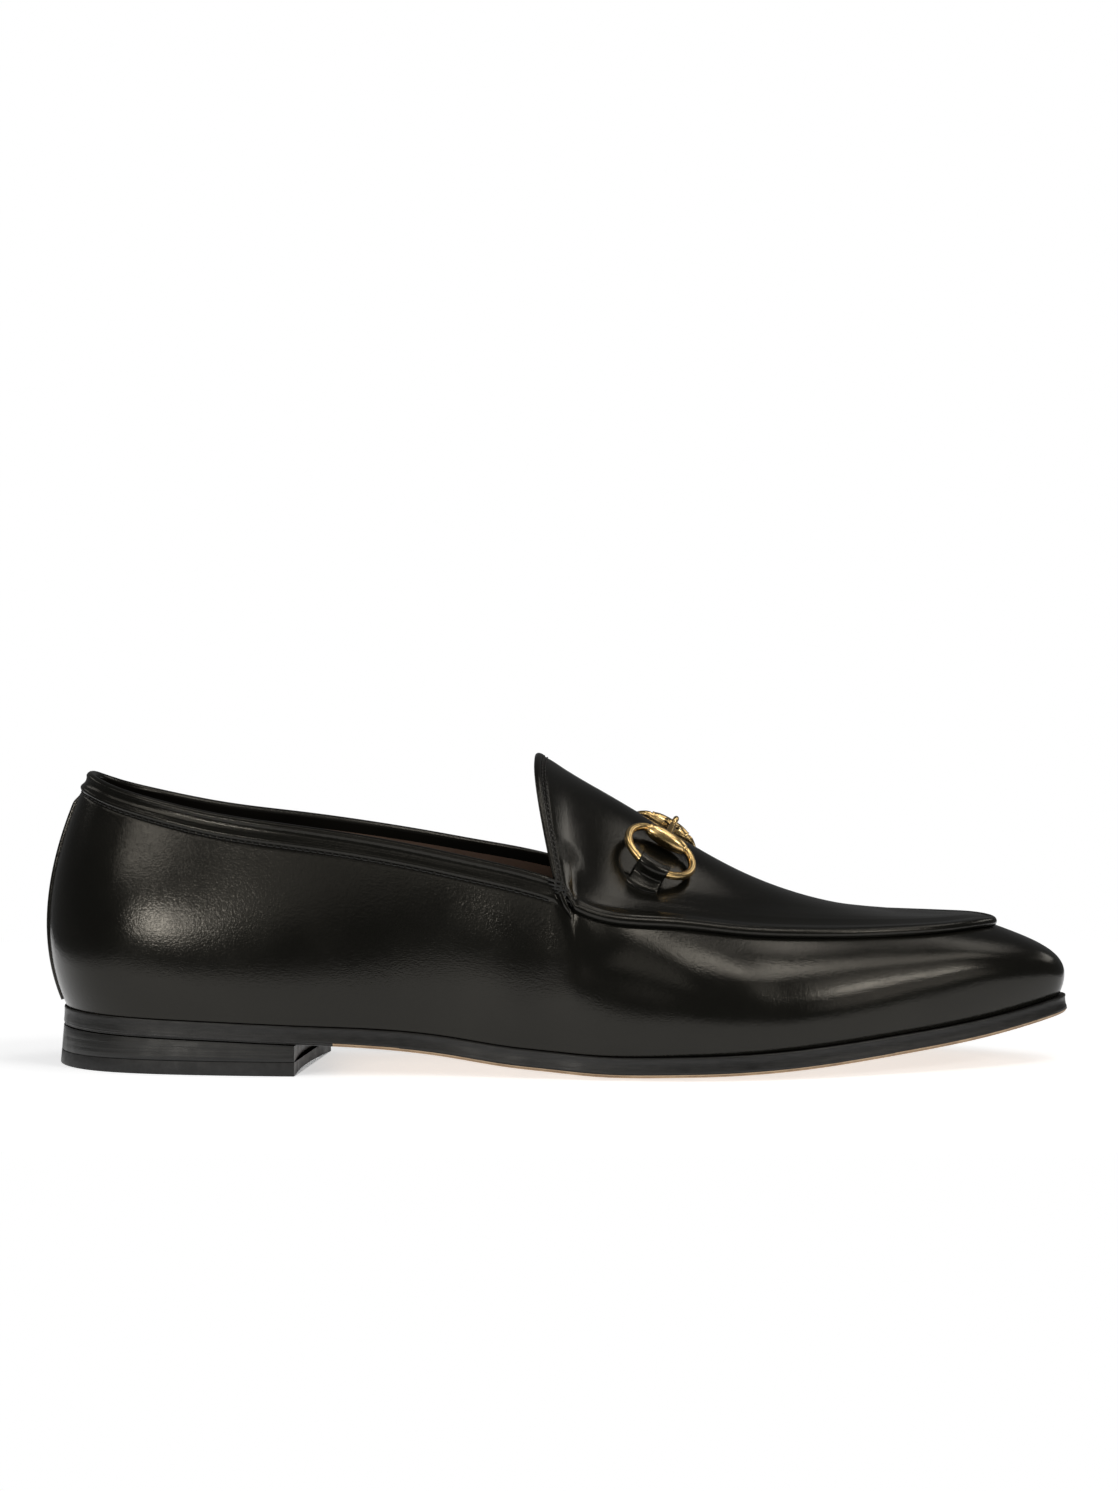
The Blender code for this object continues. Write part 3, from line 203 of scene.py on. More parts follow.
# Half of a barrel from its middle to its end: share of half its length, and radius in barrel radii
BARREL_SIDE = [
    (0.0, 1.06), (0.1, 1.058), (0.2, 1.052), (0.3, 1.04), (0.4, 1.02), (0.5, 0.99), (0.6, 0.95), (0.7, 0.895),
    (0.8, 0.82), (0.88, 0.745), (0.93, 0.70), (0.95, 0.705), (0.97, 0.72), (0.99, 0.70), (1.0, 0.66),
]
# The shank starts inside the barrel, at this share of the way to the eye's tip
SHANK_START = 0.2
# A loop's section: degrees round the ring's wire from outward over the top, then how far out in loop radii
# (past 1 in shares of the tail) and the height over the apron in loop thicknesses. None follows the wire.
LOOP_SECTION = [
    (150, 0, None), (130, 0, None), (110, 0, None), (90, 0, None), (70, 0, None), (50, 0, None),
    (35, 0, None), (20, 1.12, 2.0), (12, 1.35, 1.5), (6, 1.6, 1.0), (2, 1.85, 0.4), (-8, 1.9, -0.2),
    (-25, 1.5, -0.1), (-45, 1.0, 0), (-75, 0.35, 0), (-105, -0.35, 0), (-140, -0.8, 0.35), (180, 0, None),
]
LOOP_ACROSS = (-1.0, -0.96, -0.85, -0.5, 0.0, 0.5, 0.85, 0.96, 1.0)
LOOP_EDGE, LOOP_EDGE_THINNING = 0.97, 0.12
# The slit that a loop goes into: how far out from the ring's far side, its length and the size of its lip
SLIT_OUT = 1.3 * MM
SLIT_LENGTH = 11.5 * MM
SLIT_LIP = 0.45 * MM
# A tack's turns of thread: start and end down and across the corner, and how far they stand out, all in mm
TACK_TURNS = [
    (-1.5, -1.6, 2.0, 1.4, 0.9), (-0.3, -1.9, 3.4, 1.2, 0.9), (1.2, -1.8, 4.6, 1.4, 0.9),
    (2.6, -1.7, 6.0, 1.2, 0.8), (-1.0, 1.5, 2.4, -1.5, 0.9), (1.0, 1.7, 4.2, -1.4, 0.9),
    (2.8, 1.6, 6.2, -1.3, 0.8), (4.8, -1.2, 8.0, 0.5, 0.6), (5.2, 1.2, 8.2, -0.5, 0.6),
]
# A stitch's outline: places along it from its middle, in its lengths, and its thickness there in its radii.
# The whole stitch sinks into the leather by a share of its radius.
STITCH_SHAPE = [(-0.5, 0.0), (-0.47, 0.55), (-0.36, 0.92), (0.0, 1.0), (0.36, 0.92), (0.47, 0.55), (0.5, 0.0)]
STITCH_SINK = 0.35
# Pitch, length and radius of the stitches, and how thick a tack's thread is and how deep it sits
COLLAR_STITCH = (1.9 * MM, 1.55 * MM, 0.21 * MM)
HEM_STITCH = (1.8 * MM, 1.45 * MM, 0.2 * MM)
TACK_RADIUS, TACK_SINK = 0.3 * MM, 0.35 * MM

# Soft creases of the side wall where the ball of the foot bends it: place in the last's axes, direction,
# half length, half width and depth, all but the direction in millimetres. A negative depth is a ridge.
WALL_CREASES = [
    ((168, -42, 27), (0.35, 0, -1.0), 10, 4.5, 0.16),
    ((176, -41, 26), (0.45, 0, -1.0), 9, 4.0, -0.14),
    ((184, -38, 26), (0.55, 0, -1.0), 9, 4.2, 0.14),
    ((138, -41, 30), (0.9, 0, 0.35), 12, 3.5, 0.18),
    ((170, 36, 27), (0.35, 0, -1.0), 10, 4.5, 0.16),
    ((178, 35, 26), (0.45, 0, -1.0), 9, 4.0, -0.14),
    ((136, 34, 30), (0.9, 0, 0.35), 12, 3.5, 0.18),
]

# The camera, solved from the photo: its place in the last's axes and the height that it looks at, all in
# millimetres, the photo's pixels a millimetre there, its width in pixels and the sensor's
CAMERA_PLACE = (129.2, -1474.0, 181.0)
AIM_HEIGHT = 82.5
PIXELS_PER_MM, PHOTO_WIDTH, SENSOR = 3.84, 1118, 36.0

# The studio: the table's sides, its middle and its own light, the backdrop's radius and the light all round
TABLE_SIDES, TABLE_MIDDLE, TABLE_GLOW = (0.52, 0.48), (0.0, 0.07), 0.59
STUDIO_RADIUS = 5.0
WORLD_LEVEL = 0.088
# Softboxes, all at one distance from a point in the shoe: azimuth, elevation, width, height, radiance
LIGHT_DISTANCE, LIGHT_AIM, LIGHT_COLOUR = 1.6, (0, 0, 0.04), (1.0, 0.96, 0.89)
LIGHTS = [
    ("left_spot", -32, 9.5, 0.32, 0.12, 29.7),
    ("left_strip", -42, 26, 0.55, 0.12, 7.2),
    ("left_low", -16, 16, 0.55, 0.35, 0.7),
    ("left_high", -46, 37, 0.62, 0.30, 2.4),
    ("left_far", -74, 36, 0.55, 0.30, 1.3),
    ("front", 0, 40, 0.50, 0.60, 0.7),
    ("right_low", 50, 11, 0.45, 0.30, 1.5),
    ("right_spot", 48, 27, 0.26, 0.20, 15.4),
    ("right_middle", 50, 38, 0.45, 0.26, 2.0),
    ("right_high", 39, 59, 0.50, 0.30, 6.1),
    ("right_far", 70, 54, 0.70, 0.30, 2.4),
    ("toe_side", 118, 28, 0.90, 0.30, 1.8),
    ("flank", 122, 56, 0.60, 0.40, 1.5),
    ("top_toe", 90, 75, 0.45, 0.30, 4.2),
    ("top_heel", -90, 75, 0.45, 0.30, 3.3),
    ("top_front", 0, 75, 0.45, 0.30, 1.7),
    ("heel_side", -118, 28, 0.90, 0.30, 1.1),
]

# The middle of a noise's range
NOISE_LOW, NOISE_HIGH = 0.35, 0.65
# A crinkled patch of the tongue's flank in front of its hem: its centre in the last's axes, and its radius
CRINKLED, CRINKLED_RADIUS = (132.5, -30.0, 57.5), 6.0 * MM

# How many columns and rows the smooth pieces have
REAR_COLUMNS = 120
STEP_COLUMNS = 26
FORE_COLUMNS = 124
TOE_CROWDING = 0.6
WALL_ROWS = 30
BAND_ROWS = 56
LINING_ROWS = 22
TURNED_IN_ROWS = 2
EDGE_ROWS = 7
BREAST_COLUMNS = 12
TOP_EDGE = 0.9 * MM
BAND_REACH = 1.6
ROLL_AT_THROAT = 0.35
STRIP_START = 0.02
STRIP_END = 1.25
STRIP_SINK = 0.2 * MM
# The tab at each throat: its width, its thickness, where it starts and ends along the step in the top line,
# and how far below that line it reaches
TAB_WIDTH = 3.4 * MM
TAB_THICKNESS = 1.2 * MM
TAB_START, TAB_END = 0.02, 0.62
TAB_LENGTH = 4.6 * MM
APRON_ROWS = 72
ROLL_ROWS = 30
SOLE_ROWS_ACROSS = 12
HEEL_COLUMNS = 60
LOOP_POINTS = 60
# How near points merge, in the thin pieces and in the stitches, in metres
FINE_WELD, STITCH_WELD = 1e-7, 1e-6
DOME_WIDTH = 0.94
NUDGE = 1e-4


class Spline:
    """A twice smooth curve through rows of values at knots, closed or with free ends."""

    def __init__(self, knots, rows, closed=False):
        rows = np.asarray(rows, float)
        count, step = len(rows), np.diff(knots)
        matrix, right = np.eye(count), np.zeros(rows.shape)
        for i in range(count) if closed else range(1, count - 1):
            before, after, following = step[i - 1], step[i], (i + 1) % count
            matrix[i, i] = 2 * (before + after)
            matrix[i, i - 1], matrix[i, following] = before, after
            right[i] = 6 * ((rows[following] - rows[i]) / after - (rows[i] - rows[i - 1]) / before)
        bend = np.linalg.solve(matrix, right)
        self.closed = closed
        self.knots = np.asarray(knots, float)
        self.rows = np.vstack([rows, rows[:1]]) if closed else rows
        self.bend = np.vstack([bend, bend[:1]]) if closed else bend

    def __call__(self, at):
        first, last = self.knots[0], self.knots[-1]
        at = np.asarray(at, float) % last if self.closed else np.clip(at, first, last)
        i = np.clip(np.searchsorted(self.knots, at, side="right") - 1, 0, len(self.knots) - 2)
        step = (self.knots[i + 1] - self.knots[i])[:, None]
        low, high = (self.knots[i + 1] - at)[:, None], (at - self.knots[i])[:, None]
        return (
            (self.bend[i] * low**3 + self.bend[i + 1] * high**3) / (6 * step)
            + (self.rows[i] / step - self.bend[i] * step / 6) * low
            + (self.rows[i + 1] / step - self.bend[i + 1] * step / 6) * high
        )


def smooth_profile(table, scale, softness):
    """A function through a two-column table, its corners rounded off over twice the softness."""
    at, value = np.array(sorted(table)).T
    steps = np.linspace(-softness, softness, 9)

    def profile(x):
        return sum(np.interp(x + step, at, value) for step in steps) / len(steps) * scale

    return profile


def bezier(points, t):
    a, b, c, d = points
    s = 1 - t
    return s**3 * a + 3 * s * s * t * b + 3 * s * t * t * c + t**3 * d


def unit(vectors):
    return vectors / np.linalg.norm(vectors, axis=-1, keepdims=True)


def smoothstep(low, high, x):
    share = np.clip((x - low) / (high - low), 0, 1)
    return share * share * (3 - 2 * share)


def run_along(points):
    """How far along a line of points each of them lies."""
    return np.concatenate([[0], np.cumsum(np.linalg.norm(np.diff(points, axis=0), axis=1))])


def rows_at(x, run, rows):
    """The rows read at x, where run says how far along each of them lies."""
    return np.stack([np.interp(x, run, column) for column in np.transpose(rows)], axis=-1)


def station_values():
    """The station table as rows around the shoe, in metres and radians, and the knots they sit at."""
    table = np.array(STATIONS, float)
    sides = []
    for columns, hand in ((LATERAL_COLUMNS, -1), (MEDIAL_COLUMNS, 1)):
        foot, top = (LENGTH, hand * BALL_WIDTH), (LENGTH, hand * BALL_WIDTH, UPPER_HEIGHT)
        form = (DEGREE, DEGREE, 1, 1, UPPER_HEIGHT, BALL_WIDTH, DEGREE, 1, LENGTH)
        sides.append(table[:, columns] * np.array([*foot, *top, *form]))
    rows = np.vstack([sides[0], sides[1][-2:0:-1]])
    feet = np.vstack([rows[:, :2], rows[:1, :2]])
    knots = run_along(feet)
    return rows, knots / knots[-1]


STATION_VALUES, KNOTS = station_values()
LAST = Spline(KNOTS, STATION_VALUES, closed=True)
LATERAL_THROAT, MEDIAL_THROAT = KNOTS[THROAT], KNOTS[-1 - THROAT]
LATERAL_SEAM, MEDIAL_SEAM = KNOTS[SEAM_START], KNOTS[-1 - SEAM_START]
THROATS = [("lateral", LATERAL_THROAT, LATERAL_SEAM), ("medial", MEDIAL_THROAT, MEDIAL_SEAM)]
TIP = KNOTS[TOE_TIP]
HEIGHT = 4
REAR_STATIONS = list(range(-THROAT, THROAT + 1))
REAR_KNOTS = np.concatenate([KNOTS[-1 - THROAT : -1] - 1, KNOTS[: THROAT + 1]])
REAR_HEIGHTS = Spline(REAR_KNOTS, STATION_VALUES[REAR_STATIONS, HEIGHT : HEIGHT + 1])
SEAM_STATIONS = slice(THROAT, len(STATION_VALUES) - THROAT + 1)
SEAM_ROWS = STATION_VALUES[SEAM_STATIONS, HEIGHT : HEIGHT + 1].copy()
SEAM_ROWS[[0, -1]] = 2 * SEAM_ROWS[[1, -2]] - SEAM_ROWS[[2, -3]]
SEAM_HEIGHTS = Spline(KNOTS[SEAM_STATIONS], SEAM_ROWS)


def step_share(places):
    """0 at the throats, 1 from the start of the seam on."""
    around = np.asarray(places, float) % 1
    lateral = (around - LATERAL_THROAT) / (LATERAL_SEAM - LATERAL_THROAT)
    medial = (MEDIAL_THROAT - around) / (MEDIAL_THROAT - MEDIAL_SEAM)
    return np.clip(np.minimum(lateral, medial), 0, 1)


def top_height(places):
    """Height of the top line above the sole's rim: the collar, the step and the seam."""
    around = np.asarray(places, float) % 1
    rear = REAR_HEIGHTS(np.where(around > TIP, around - 1, around))[:, 0]
    share = step_share(places)
    return rear * (1 - share) + SEAM_HEIGHTS(around)[:, 0] * share


def plan_normals(places, first):
    along = unit((LAST(places + NUDGE) - LAST(places - NUDGE))[:, first : first + 2])
    return np.stack([along[:, 1], -along[:, 0], np.zeros(len(along))], axis=1)


OUTLINE_PLACES = np.linspace(0, 1, 1200, endpoint=False)
OUTLINE = LAST(OUTLINE_PLACES)[:, :2]
OUTLINE_LENGTH = np.linalg.norm(np.diff(OUTLINE, axis=0), axis=1).sum()
BREAST_READER = [
    (OUTLINE[OUTLINE_PLACES < TIP, 0], OUTLINE_PLACES[OUTLINE_PLACES < TIP]),
    (OUTLINE[OUTLINE_PLACES > TIP, 0][::-1], OUTLINE_PLACES[OUTLINE_PLACES > TIP][::-1]),
]
# From the last's own axes to the row's frame, read from the frame's outsole
SOLE_BOX = [np.array(corner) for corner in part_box("outsole")]
SHIFT = np.array([SOLE_BOX[0][0], SOLE_BOX[0][1], 0]) - np.append(OUTLINE.min(axis=0), 0)


def sole_edges(x):
    lateral = OUTLINE[OUTLINE_PLACES <= TIP]
    medial = OUTLINE[OUTLINE_PLACES >= TIP][::-1]
    return np.interp(x, lateral[:, 0], lateral[:, 1]), np.interp(x, medial[:, 0], medial[:, 1])


SOLE_TABLE = np.array(SOLE_ROWS)
SOLE_LINE = Spline(
    SOLE_TABLE[:, 0] * LENGTH,
    np.column_stack(
        [
            SOLE_TABLE[:, 1] * HEEL_HEIGHT + SOLE_TABLE[:, 2] * TOE_SPRING,
            SOLE_TABLE[:, 3] * BALL_CROWN,
            SOLE_TABLE[:, 4] * SOLE_THICKNESS,
        ]
    ),
)


def sole_bottom(x, y):
    middle, crown, _ = SOLE_LINE(np.ravel(x)).T.reshape((3,) + np.shape(x))
    lateral, medial = sole_edges(x)
    half = np.maximum((medial - lateral) / 2, BALL_CROWN)
    across = np.clip((y - (medial + lateral) / 2) / half, -1, 1)
    return np.maximum(middle + crown * across**2, 0)


def sole_thickness(x):
    return SOLE_LINE(np.ravel(x))[:, 2].reshape(np.shape(x))


def sole_top(x, y):
    return sole_bottom(x, y) + sole_thickness(x)


def welt_at(x):
    share = smoothstep(HEEL_BREAST_LATERAL, 1 - HEEL_BREAST_LATERAL, x / LENGTH)
    return WELT_AT_HEEL + (WELT_AT_FOREPART - WELT_AT_HEEL) * share


def wall_frame(places):
    """Foot, top, outward directions and station values of the side wall at each place around the shoe."""
    values = LAST(places)
    foot_out, top_out = plan_normals(places, 0), plan_normals(places, 2)
    foot = np.zeros((len(places), 3))
    foot[:, :2] = values[:, :2] - foot_out[:, :2] * welt_at(values[:, :1])
    foot[:, 2] = sole_top(foot[:, 0], foot[:, 1]) + GAP
    top = np.zeros((len(places), 3))
    top[:, :2] = values[:, 2:4]
    lateral, medial = sole_edges(top[:, 0])
    rim = sole_top(top[:, 0], np.where(top_out[:, 1] < 0, lateral, medial))
    top[:, 2] = rim + top_height(places)
    return foot, top, foot_out, top_out, values


def wall_height(places):
    """Straight distance from the side wall's foot to its top line."""
    foot, top, *_ = wall_frame(places)
    return np.linalg.norm(top - foot, axis=1)


def wall_points(places, shares):
    """The outer face of the side wall: places around the shoe by shares of the way up."""
    foot, top, foot_out, top_out, values = wall_frame(places)
    reach = np.linalg.norm(top - foot, axis=1)[:, None]
    lean_out, lean_in, low, high = (values[:, i][:, None] for i in range(5, 9))
    after_foot = foot + low * reach * (foot_out * np.sin(lean_out) + UP * np.cos(lean_out))
    before_top = top + high * reach * (top_out * np.sin(lean_in) - UP * np.cos(lean_in))
    ends = [p[:, None, :] for p in (foot, after_foot, before_top, top)]
    return bezier(ends, np.atleast_2d(shares)[..., None])


def wall_normals(places, shares):
    shares = np.asarray(shares, float)
    around = wall_points(places + NUDGE, shares) - wall_points(places - NUDGE, shares)
    upward = wall_points(places, shares + NUDGE) - wall_points(places, shares - NUDGE)
    return unit(np.cross(around, upward))


def roll_profile():
    """The edge roll as a smooth curve of ROLL_ROWS points."""
    table = np.array(EDGE_ROLL)
    knots = run_along(table)
    return Spline(knots, table)(np.linspace(0, knots[-1], ROLL_ROWS))


def edge_roll(places, profile):
    """The apron's rolled edge, from the wall over the roll: one row of points a place."""
    _, top, _, top_out, values = wall_frame(places)
    lean = values[:, 6][:, None]
    out = top_out * np.cos(lean) + UP * np.sin(lean)
    down = top_out * np.sin(lean) - UP * np.cos(lean)
    grown = smoothstep(0, 1, step_share(places))
    size = EDGE_ROLL_SIZE * (ROLL_AT_THROAT + (1 - ROLL_AT_THROAT) * grown)[:, None]
    return np.stack([top + size * (a * down + b * out) for a, b in profile], axis=1)


def apron_points(lateral_places, medial_places, across):
    """The apron's outer face in two halves, each from the rolled edge to the crest."""
    sides = (lateral_places, medial_places)
    starts = [edge_roll(places, EDGE_ROLL[-1:])[:, -1] for places in sides]
    values = (LAST(lateral_places) + LAST(medial_places)) / 2
    height, ridge, shoulder, crown, sweep = (values[:, i][:, None] for i in range(9, 14))
    backwards = sweep * ALONG
    crest = (starts[0] + starts[1]) / 2 + backwards + ridge * ACROSS
    crest[:, 2:] = sole_top(crest[:, :1], sole_edges(crest[:, :1])[0]) + height
    halves = []
    for start, places in zip(starts, sides):
        base = start + (SEAM_HEIGHTS(places)[:, 0] - top_height(places))[:, None] * UP
        inward = (crest - base) * (1 - UP)
        width = np.linalg.norm(inward, axis=1)[:, None]
        level = inward / np.maximum(width, MM * MM)
        reach = np.linalg.norm(crest - base, axis=1)[:, None]
        climb = level * np.cos(shoulder) + UP * np.sin(shoulder)
        after_start = base + APRON_FULLNESS * reach * climb + 0.5 * backwards
        before_crest = crest - crown * width * ACROSS * np.sign(inward[:, 1:2]) + 0.5 * backwards
        ends = [p[:, None, :] for p in (start, after_start, before_crest, crest)]
        halves.append(bezier(ends, np.asarray(across, float)[None, :, None]))
    return halves


def apron_normals(lateral_places, medial_places, across):
    ahead = apron_points(lateral_places, medial_places, across)
    behind = apron_points(lateral_places - NUDGE, medial_places + NUDGE, across)
    inner = apron_points(lateral_places, medial_places, across + NUDGE)
    outer = apron_points(lateral_places, medial_places, across - NUDGE)
    found = []
    for half, hand in ((0, 1), (1, -1)):
        normal = hand * np.cross(ahead[half] - behind[half], inner[half] - outer[half])
        length = np.linalg.norm(normal, axis=2, keepdims=True)
        found.append(np.where(length > MM**4, normal / np.maximum(length, MM**4), UP))
    return found


class Grid:
    """Points and faces of one mesh with a material number a face, gathered strip by strip."""

    def __init__(self):
        self.points, self.faces, self.slots = [], [], []

    def add(self, rows):
        rows = np.asarray(rows, float)
        first = sum(len(p) for p in self.points)
        self.points.append(rows.reshape(-1, 3))
        return np.arange(first, first + rows.size // 3).reshape(rows.shape[:-1])

    def face(self, numbers):
        self.faces.append([int(n) for n in numbers])
        self.slots.append(0)

    def quads(self, numbers, slot=0, closed=False):
        rows = np.vstack([numbers, numbers[:1]]) if closed else np.asarray(numbers)
        near, far = rows[:-1], rows[1:]
        made = np.stack([near[:, :-1], far[:, :-1], far[:, 1:], near[:, 1:]], axis=-1).reshape(-1, 4)
        self.faces.extend(made.tolist())
        self.slots.extend([slot] * len(made))

    def piece(self, name, materials, replaced=(), slot="upper_leather", smooth_angle=60, weld=0.004 * MM):
        mesh = bpy.data.meshes.new(name)
        mesh.from_pydata((np.vstack(self.points) + SHIFT).tolist(), [], self.faces)
        for finish in materials:
            mesh.materials.append(finish)
        mesh.polygons.foreach_set("material_index", self.slots)
        work = bmesh.new()
        work.from_mesh(mesh)
        bmesh.ops.remove_doubles(work, verts=work.verts, dist=weld)
        bmesh.ops.dissolve_degenerate(work, edges=work.edges, dist=weld)
        bmesh.ops.recalc_face_normals(work, faces=work.faces)
        work.to_mesh(mesh)
        work.free()
        return finish_piece(name, mesh, replaced, smooth_angle)


def finish_piece(name, mesh, replaced, smooth_angle):
    mesh.shade_smooth()
    mesh.set_sharp_from_angle(angle=math.radians(smooth_angle))
    made = bpy.data.objects.new(name, mesh)
    bpy.context.scene.collection.objects.link(made)
    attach(made, "root")
    if replaced:
        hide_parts(*replaced)
    return made


def column_places():
    """Places of the wall's columns around the shoe, closest at the throats and at the toe."""
    share = np.linspace(0, 1, FORE_COLUMNS, endpoint=False)
    fore = share + TOE_CROWDING * share * (1 - share)
    rear, step = (np.linspace(0, 1, count, endpoint=False) for count in (REAR_COLUMNS, STEP_COLUMNS))
    lateral = [0, LATERAL_THROAT, LATERAL_SEAM, TIP]
    medial = [1, MEDIAL_THROAT, MEDIAL_SEAM, TIP]
    runs = [
        [first + (last - first) * shares for first, last, shares in zip(side, side[1:], (rear, step, fore))]
        for side in (lateral, medial)
    ]
    out, back = (np.concatenate(side) for side in runs)
    return np.concatenate([out, [TIP], back[:0:-1]])


def rounded_edge(outer, inner, beyond):
    """Points over a cut edge from its outer to its inner line, bulging along beyond."""
    middle, arm = (outer + inner) / 2, (outer - inner) / 2
    radius = np.linalg.norm(arm, axis=-1, keepdims=True)
    turns = np.linspace(0, math.pi, EDGE_ROWS + 2)[1:-1]
    return np.stack([middle + arm * math.cos(t) + beyond * radius * math.sin(t) for t in turns], axis=1)


def collar_weight(places):
    """1 along the collar and 0 along the seam, with a short fade at the throats."""
    fade = 0.5 * (LATERAL_SEAM - LATERAL_THROAT)
    lateral = smoothstep(LATERAL_THROAT + fade, LATERAL_THROAT - fade, places)
    medial = smoothstep(MEDIAL_THROAT - fade, MEDIAL_THROAT + fade, places)
    return np.clip(lateral + medial, 0, 1)


def crease(points, centre, direction, length, width, depth):
    """A soft trough across points: centre and a plan direction, its half length, half width and depth."""
    away = points - centre
    along = away @ direction
    across = np.linalg.norm(away - along[..., None] * direction, axis=-1)
    return -depth * np.exp(-((across / width) ** 2)) * np.exp(-((along / length) ** 2))


def wall_relief(points, places, below_top):
    """How far the side wall's outer face stands out of its plain form."""
    band = smooth_profile(BAND_RELIEF, COLLAR_BAND_STEP, 0.035)(below_top / COLLAR_BAND_WIDTH)
    relief = band * collar_weight(places)[:, None]
    for centre, direction, *sizes in WALL_CREASES:
        middle, trend = np.array(centre) * MM, unit(np.array(direction))
        relief = relief + crease(points, middle, trend, *np.array(sizes) * MM)
    return relief


def upper_wall(materials):
    """The side wall: outer leather with its collar band, a rounded top line and the lining inside."""
    places = column_places()
    height = wall_height(places)[:, None]
    edge, band = TOP_EDGE / height, BAND_REACH * COLLAR_BAND_WIDTH / height
    lower = np.linspace(0, 1, WALL_ROWS, endpoint=False) * (1 - band)
    upper = 1 - band + np.linspace(0, 1, BAND_ROWS) * (band - edge)
    shares = np.concatenate([lower, upper], axis=1)
    plain, normal = wall_points(places, shares), wall_normals(places, shares)
    relief = wall_relief(plain, places, (1 - shares) * height)
    outer = plain + relief[..., None] * normal
    lining_shares = np.linspace(0, 1, LINING_ROWS) * (1 - edge)
    inner = wall_points(places, lining_shares) - WALL * wall_normals(places, lining_shares)
    rim = rounded_edge(outer[:, -1], inner[:, -1], unit(plain[:, -1] - plain[:, -2]))

    grid = Grid()
    outer_numbers, rim_numbers, inner_numbers = grid.add(outer), grid.add(rim), grid.add(inner)
    turned_in = LINING_ROWS - TURNED_IN_ROWS
    over = np.column_stack([outer_numbers, rim_numbers, inner_numbers[:, : turned_in - 1 : -1]])
    grid.quads(over, 0, closed=True)
    lining = np.column_stack([inner_numbers[:, turned_in::-1], outer_numbers[:, 0]])
    grid.quads(lining, 1, closed=True)
    return grid.piece("upper_wall", materials, ("upper",))


def arc_from(points, axis):
    """Distance along a grid of points from its first line, along axis 0 or 1."""
    steps = np.linalg.norm(np.diff(points, axis=axis), axis=2)
    start = np.zeros_like(np.take(steps, [0], axis=axis))
    return np.concatenate([start, np.cumsum(steps, axis=axis)], axis=axis)


def apron_columns():
    """Places of the apron's sections on the lateral and on the medial side, from throat to toe tip."""
    places = column_places()
    tip = REAR_COLUMNS + STEP_COLUMNS + FORE_COLUMNS
    return places[REAR_COLUMNS : tip + 1], places[2 * tip - REAR_COLUMNS : tip - 1 : -1]


def apron_skin(across):
    """Both halves of the apron's outer face with its hem, valley and shoulder, and their normals."""
    sides = apron_columns()
    halves, normals = apron_points(*sides, across), apron_normals(*sides, across)
    hem, valley = smooth_profile(HEM_RELIEF, MM, 0.15), smooth_profile(APRON_RELIEF, MM, 0.3)
    crest_normal = unit(normals[0][:, -1] + normals[1][:, -1])
    skins = []
    for half, normal in zip(halves, normals):
        normal[:, -1] = crest_normal
        from_hem, from_seam = arc_from(half, 0), arc_from(half, 1)
        width = from_seam[:, -1:]
        # The valley fades out under the hem, and where the apron is narrow at the toe
        fade = smoothstep(3 * MM, 12 * MM, from_hem) * smoothstep(3 * MM, 14 * MM, width)
        relief = hem(from_hem / MM) + valley(from_seam / MM) * fade
        skins.append(half + relief[..., None] * normal)
    crest = (skins[0][:, -1] + skins[1][:, -1]) / 2
    for skin in skins:
        skin[:, -1] = crest
    return skins, normals


def apron_rows():
    """Shares of the way from the rolled edge to the crest, closest at the edge."""
    share = np.linspace(0, 1, APRON_ROWS + 1)
    return share + 0.45 * share * (share - 1)


def apron(materials):
    """The apron and tongue: the rolled edge, a folded hem along the tongue's rear and the lining inside."""
    skins, normals = apron_skin(apron_rows())
    profile = roll_profile()
    grid = Grid()
    for skin, normal, places in zip(skins, normals, apron_columns()):
        roll = edge_roll(places, profile[:-1])
        thickness = WALL * (1 - HEM_THINNING * smoothstep(7 * MM, 0, arc_from(skin, 0)))
        inner = skin - thickness[..., None] * normal
        edge = rounded_edge(skin[0], inner[0], unit(skin[0] - skin[1]))
        roll_numbers, skin_numbers, inner_numbers = grid.add(roll), grid.add(skin), grid.add(inner)
        edge_numbers = grid.add(edge)
        outer_numbers = np.column_stack([roll_numbers, skin_numbers])
        grid.quads(outer_numbers)
        grid.quads(inner_numbers[:, ::-1], 1)
        grid.quads(np.column_stack([inner_numbers[:, 0], outer_numbers[:, 0]]), 1)
        end = np.column_stack([skin_numbers[0], edge_numbers, inner_numbers[0]])
        grid.quads(end)
        grid.face([*roll_numbers[0], *end[0]])
    return grid.piece("apron", materials, ("upper",))


def plate(name, outlines, heights, side_rows, materials, replaced, slot):
    """A plate whose faces are ruled from side to side, between a lower and an upper outline. heights are two
    functions of x and y, and side_rows loops of points between the rims."""
    grid = Grid()
    half = len(outlines[0]) // 2
    rims = []
    for outline, height, turn in zip(outlines, heights, (1, -1)):
        lateral = outline[: half + 1, None, :2]
        medial = np.vstack([outline[:1], outline[: half - 1 : -1]])[:, None, :2]
        across = np.linspace(0, 1, SOLE_ROWS_ACROSS + 1)[None, :, None]
        flat = lateral * (1 - across) + medial * across
        numbers = grid.add(np.concatenate([flat, height(flat[..., 0], flat[..., 1])[..., None]], axis=2))
        grid.quads(numbers[:, ::turn])
        rims.append(np.concatenate([numbers[:, 0], numbers[half - 1 : 0 : -1, -1]]))
    loops = np.column_stack([rims[0]] + [grid.add(row) for row in side_rows] + [rims[1]])
    grid.quads(loops, closed=True)
    return grid.piece(name, materials, replaced, slot, 50)


def sole_outline(places, outset):
    return LAST(places)[:, :2] + plan_normals(places, 0)[:, :2] * outset


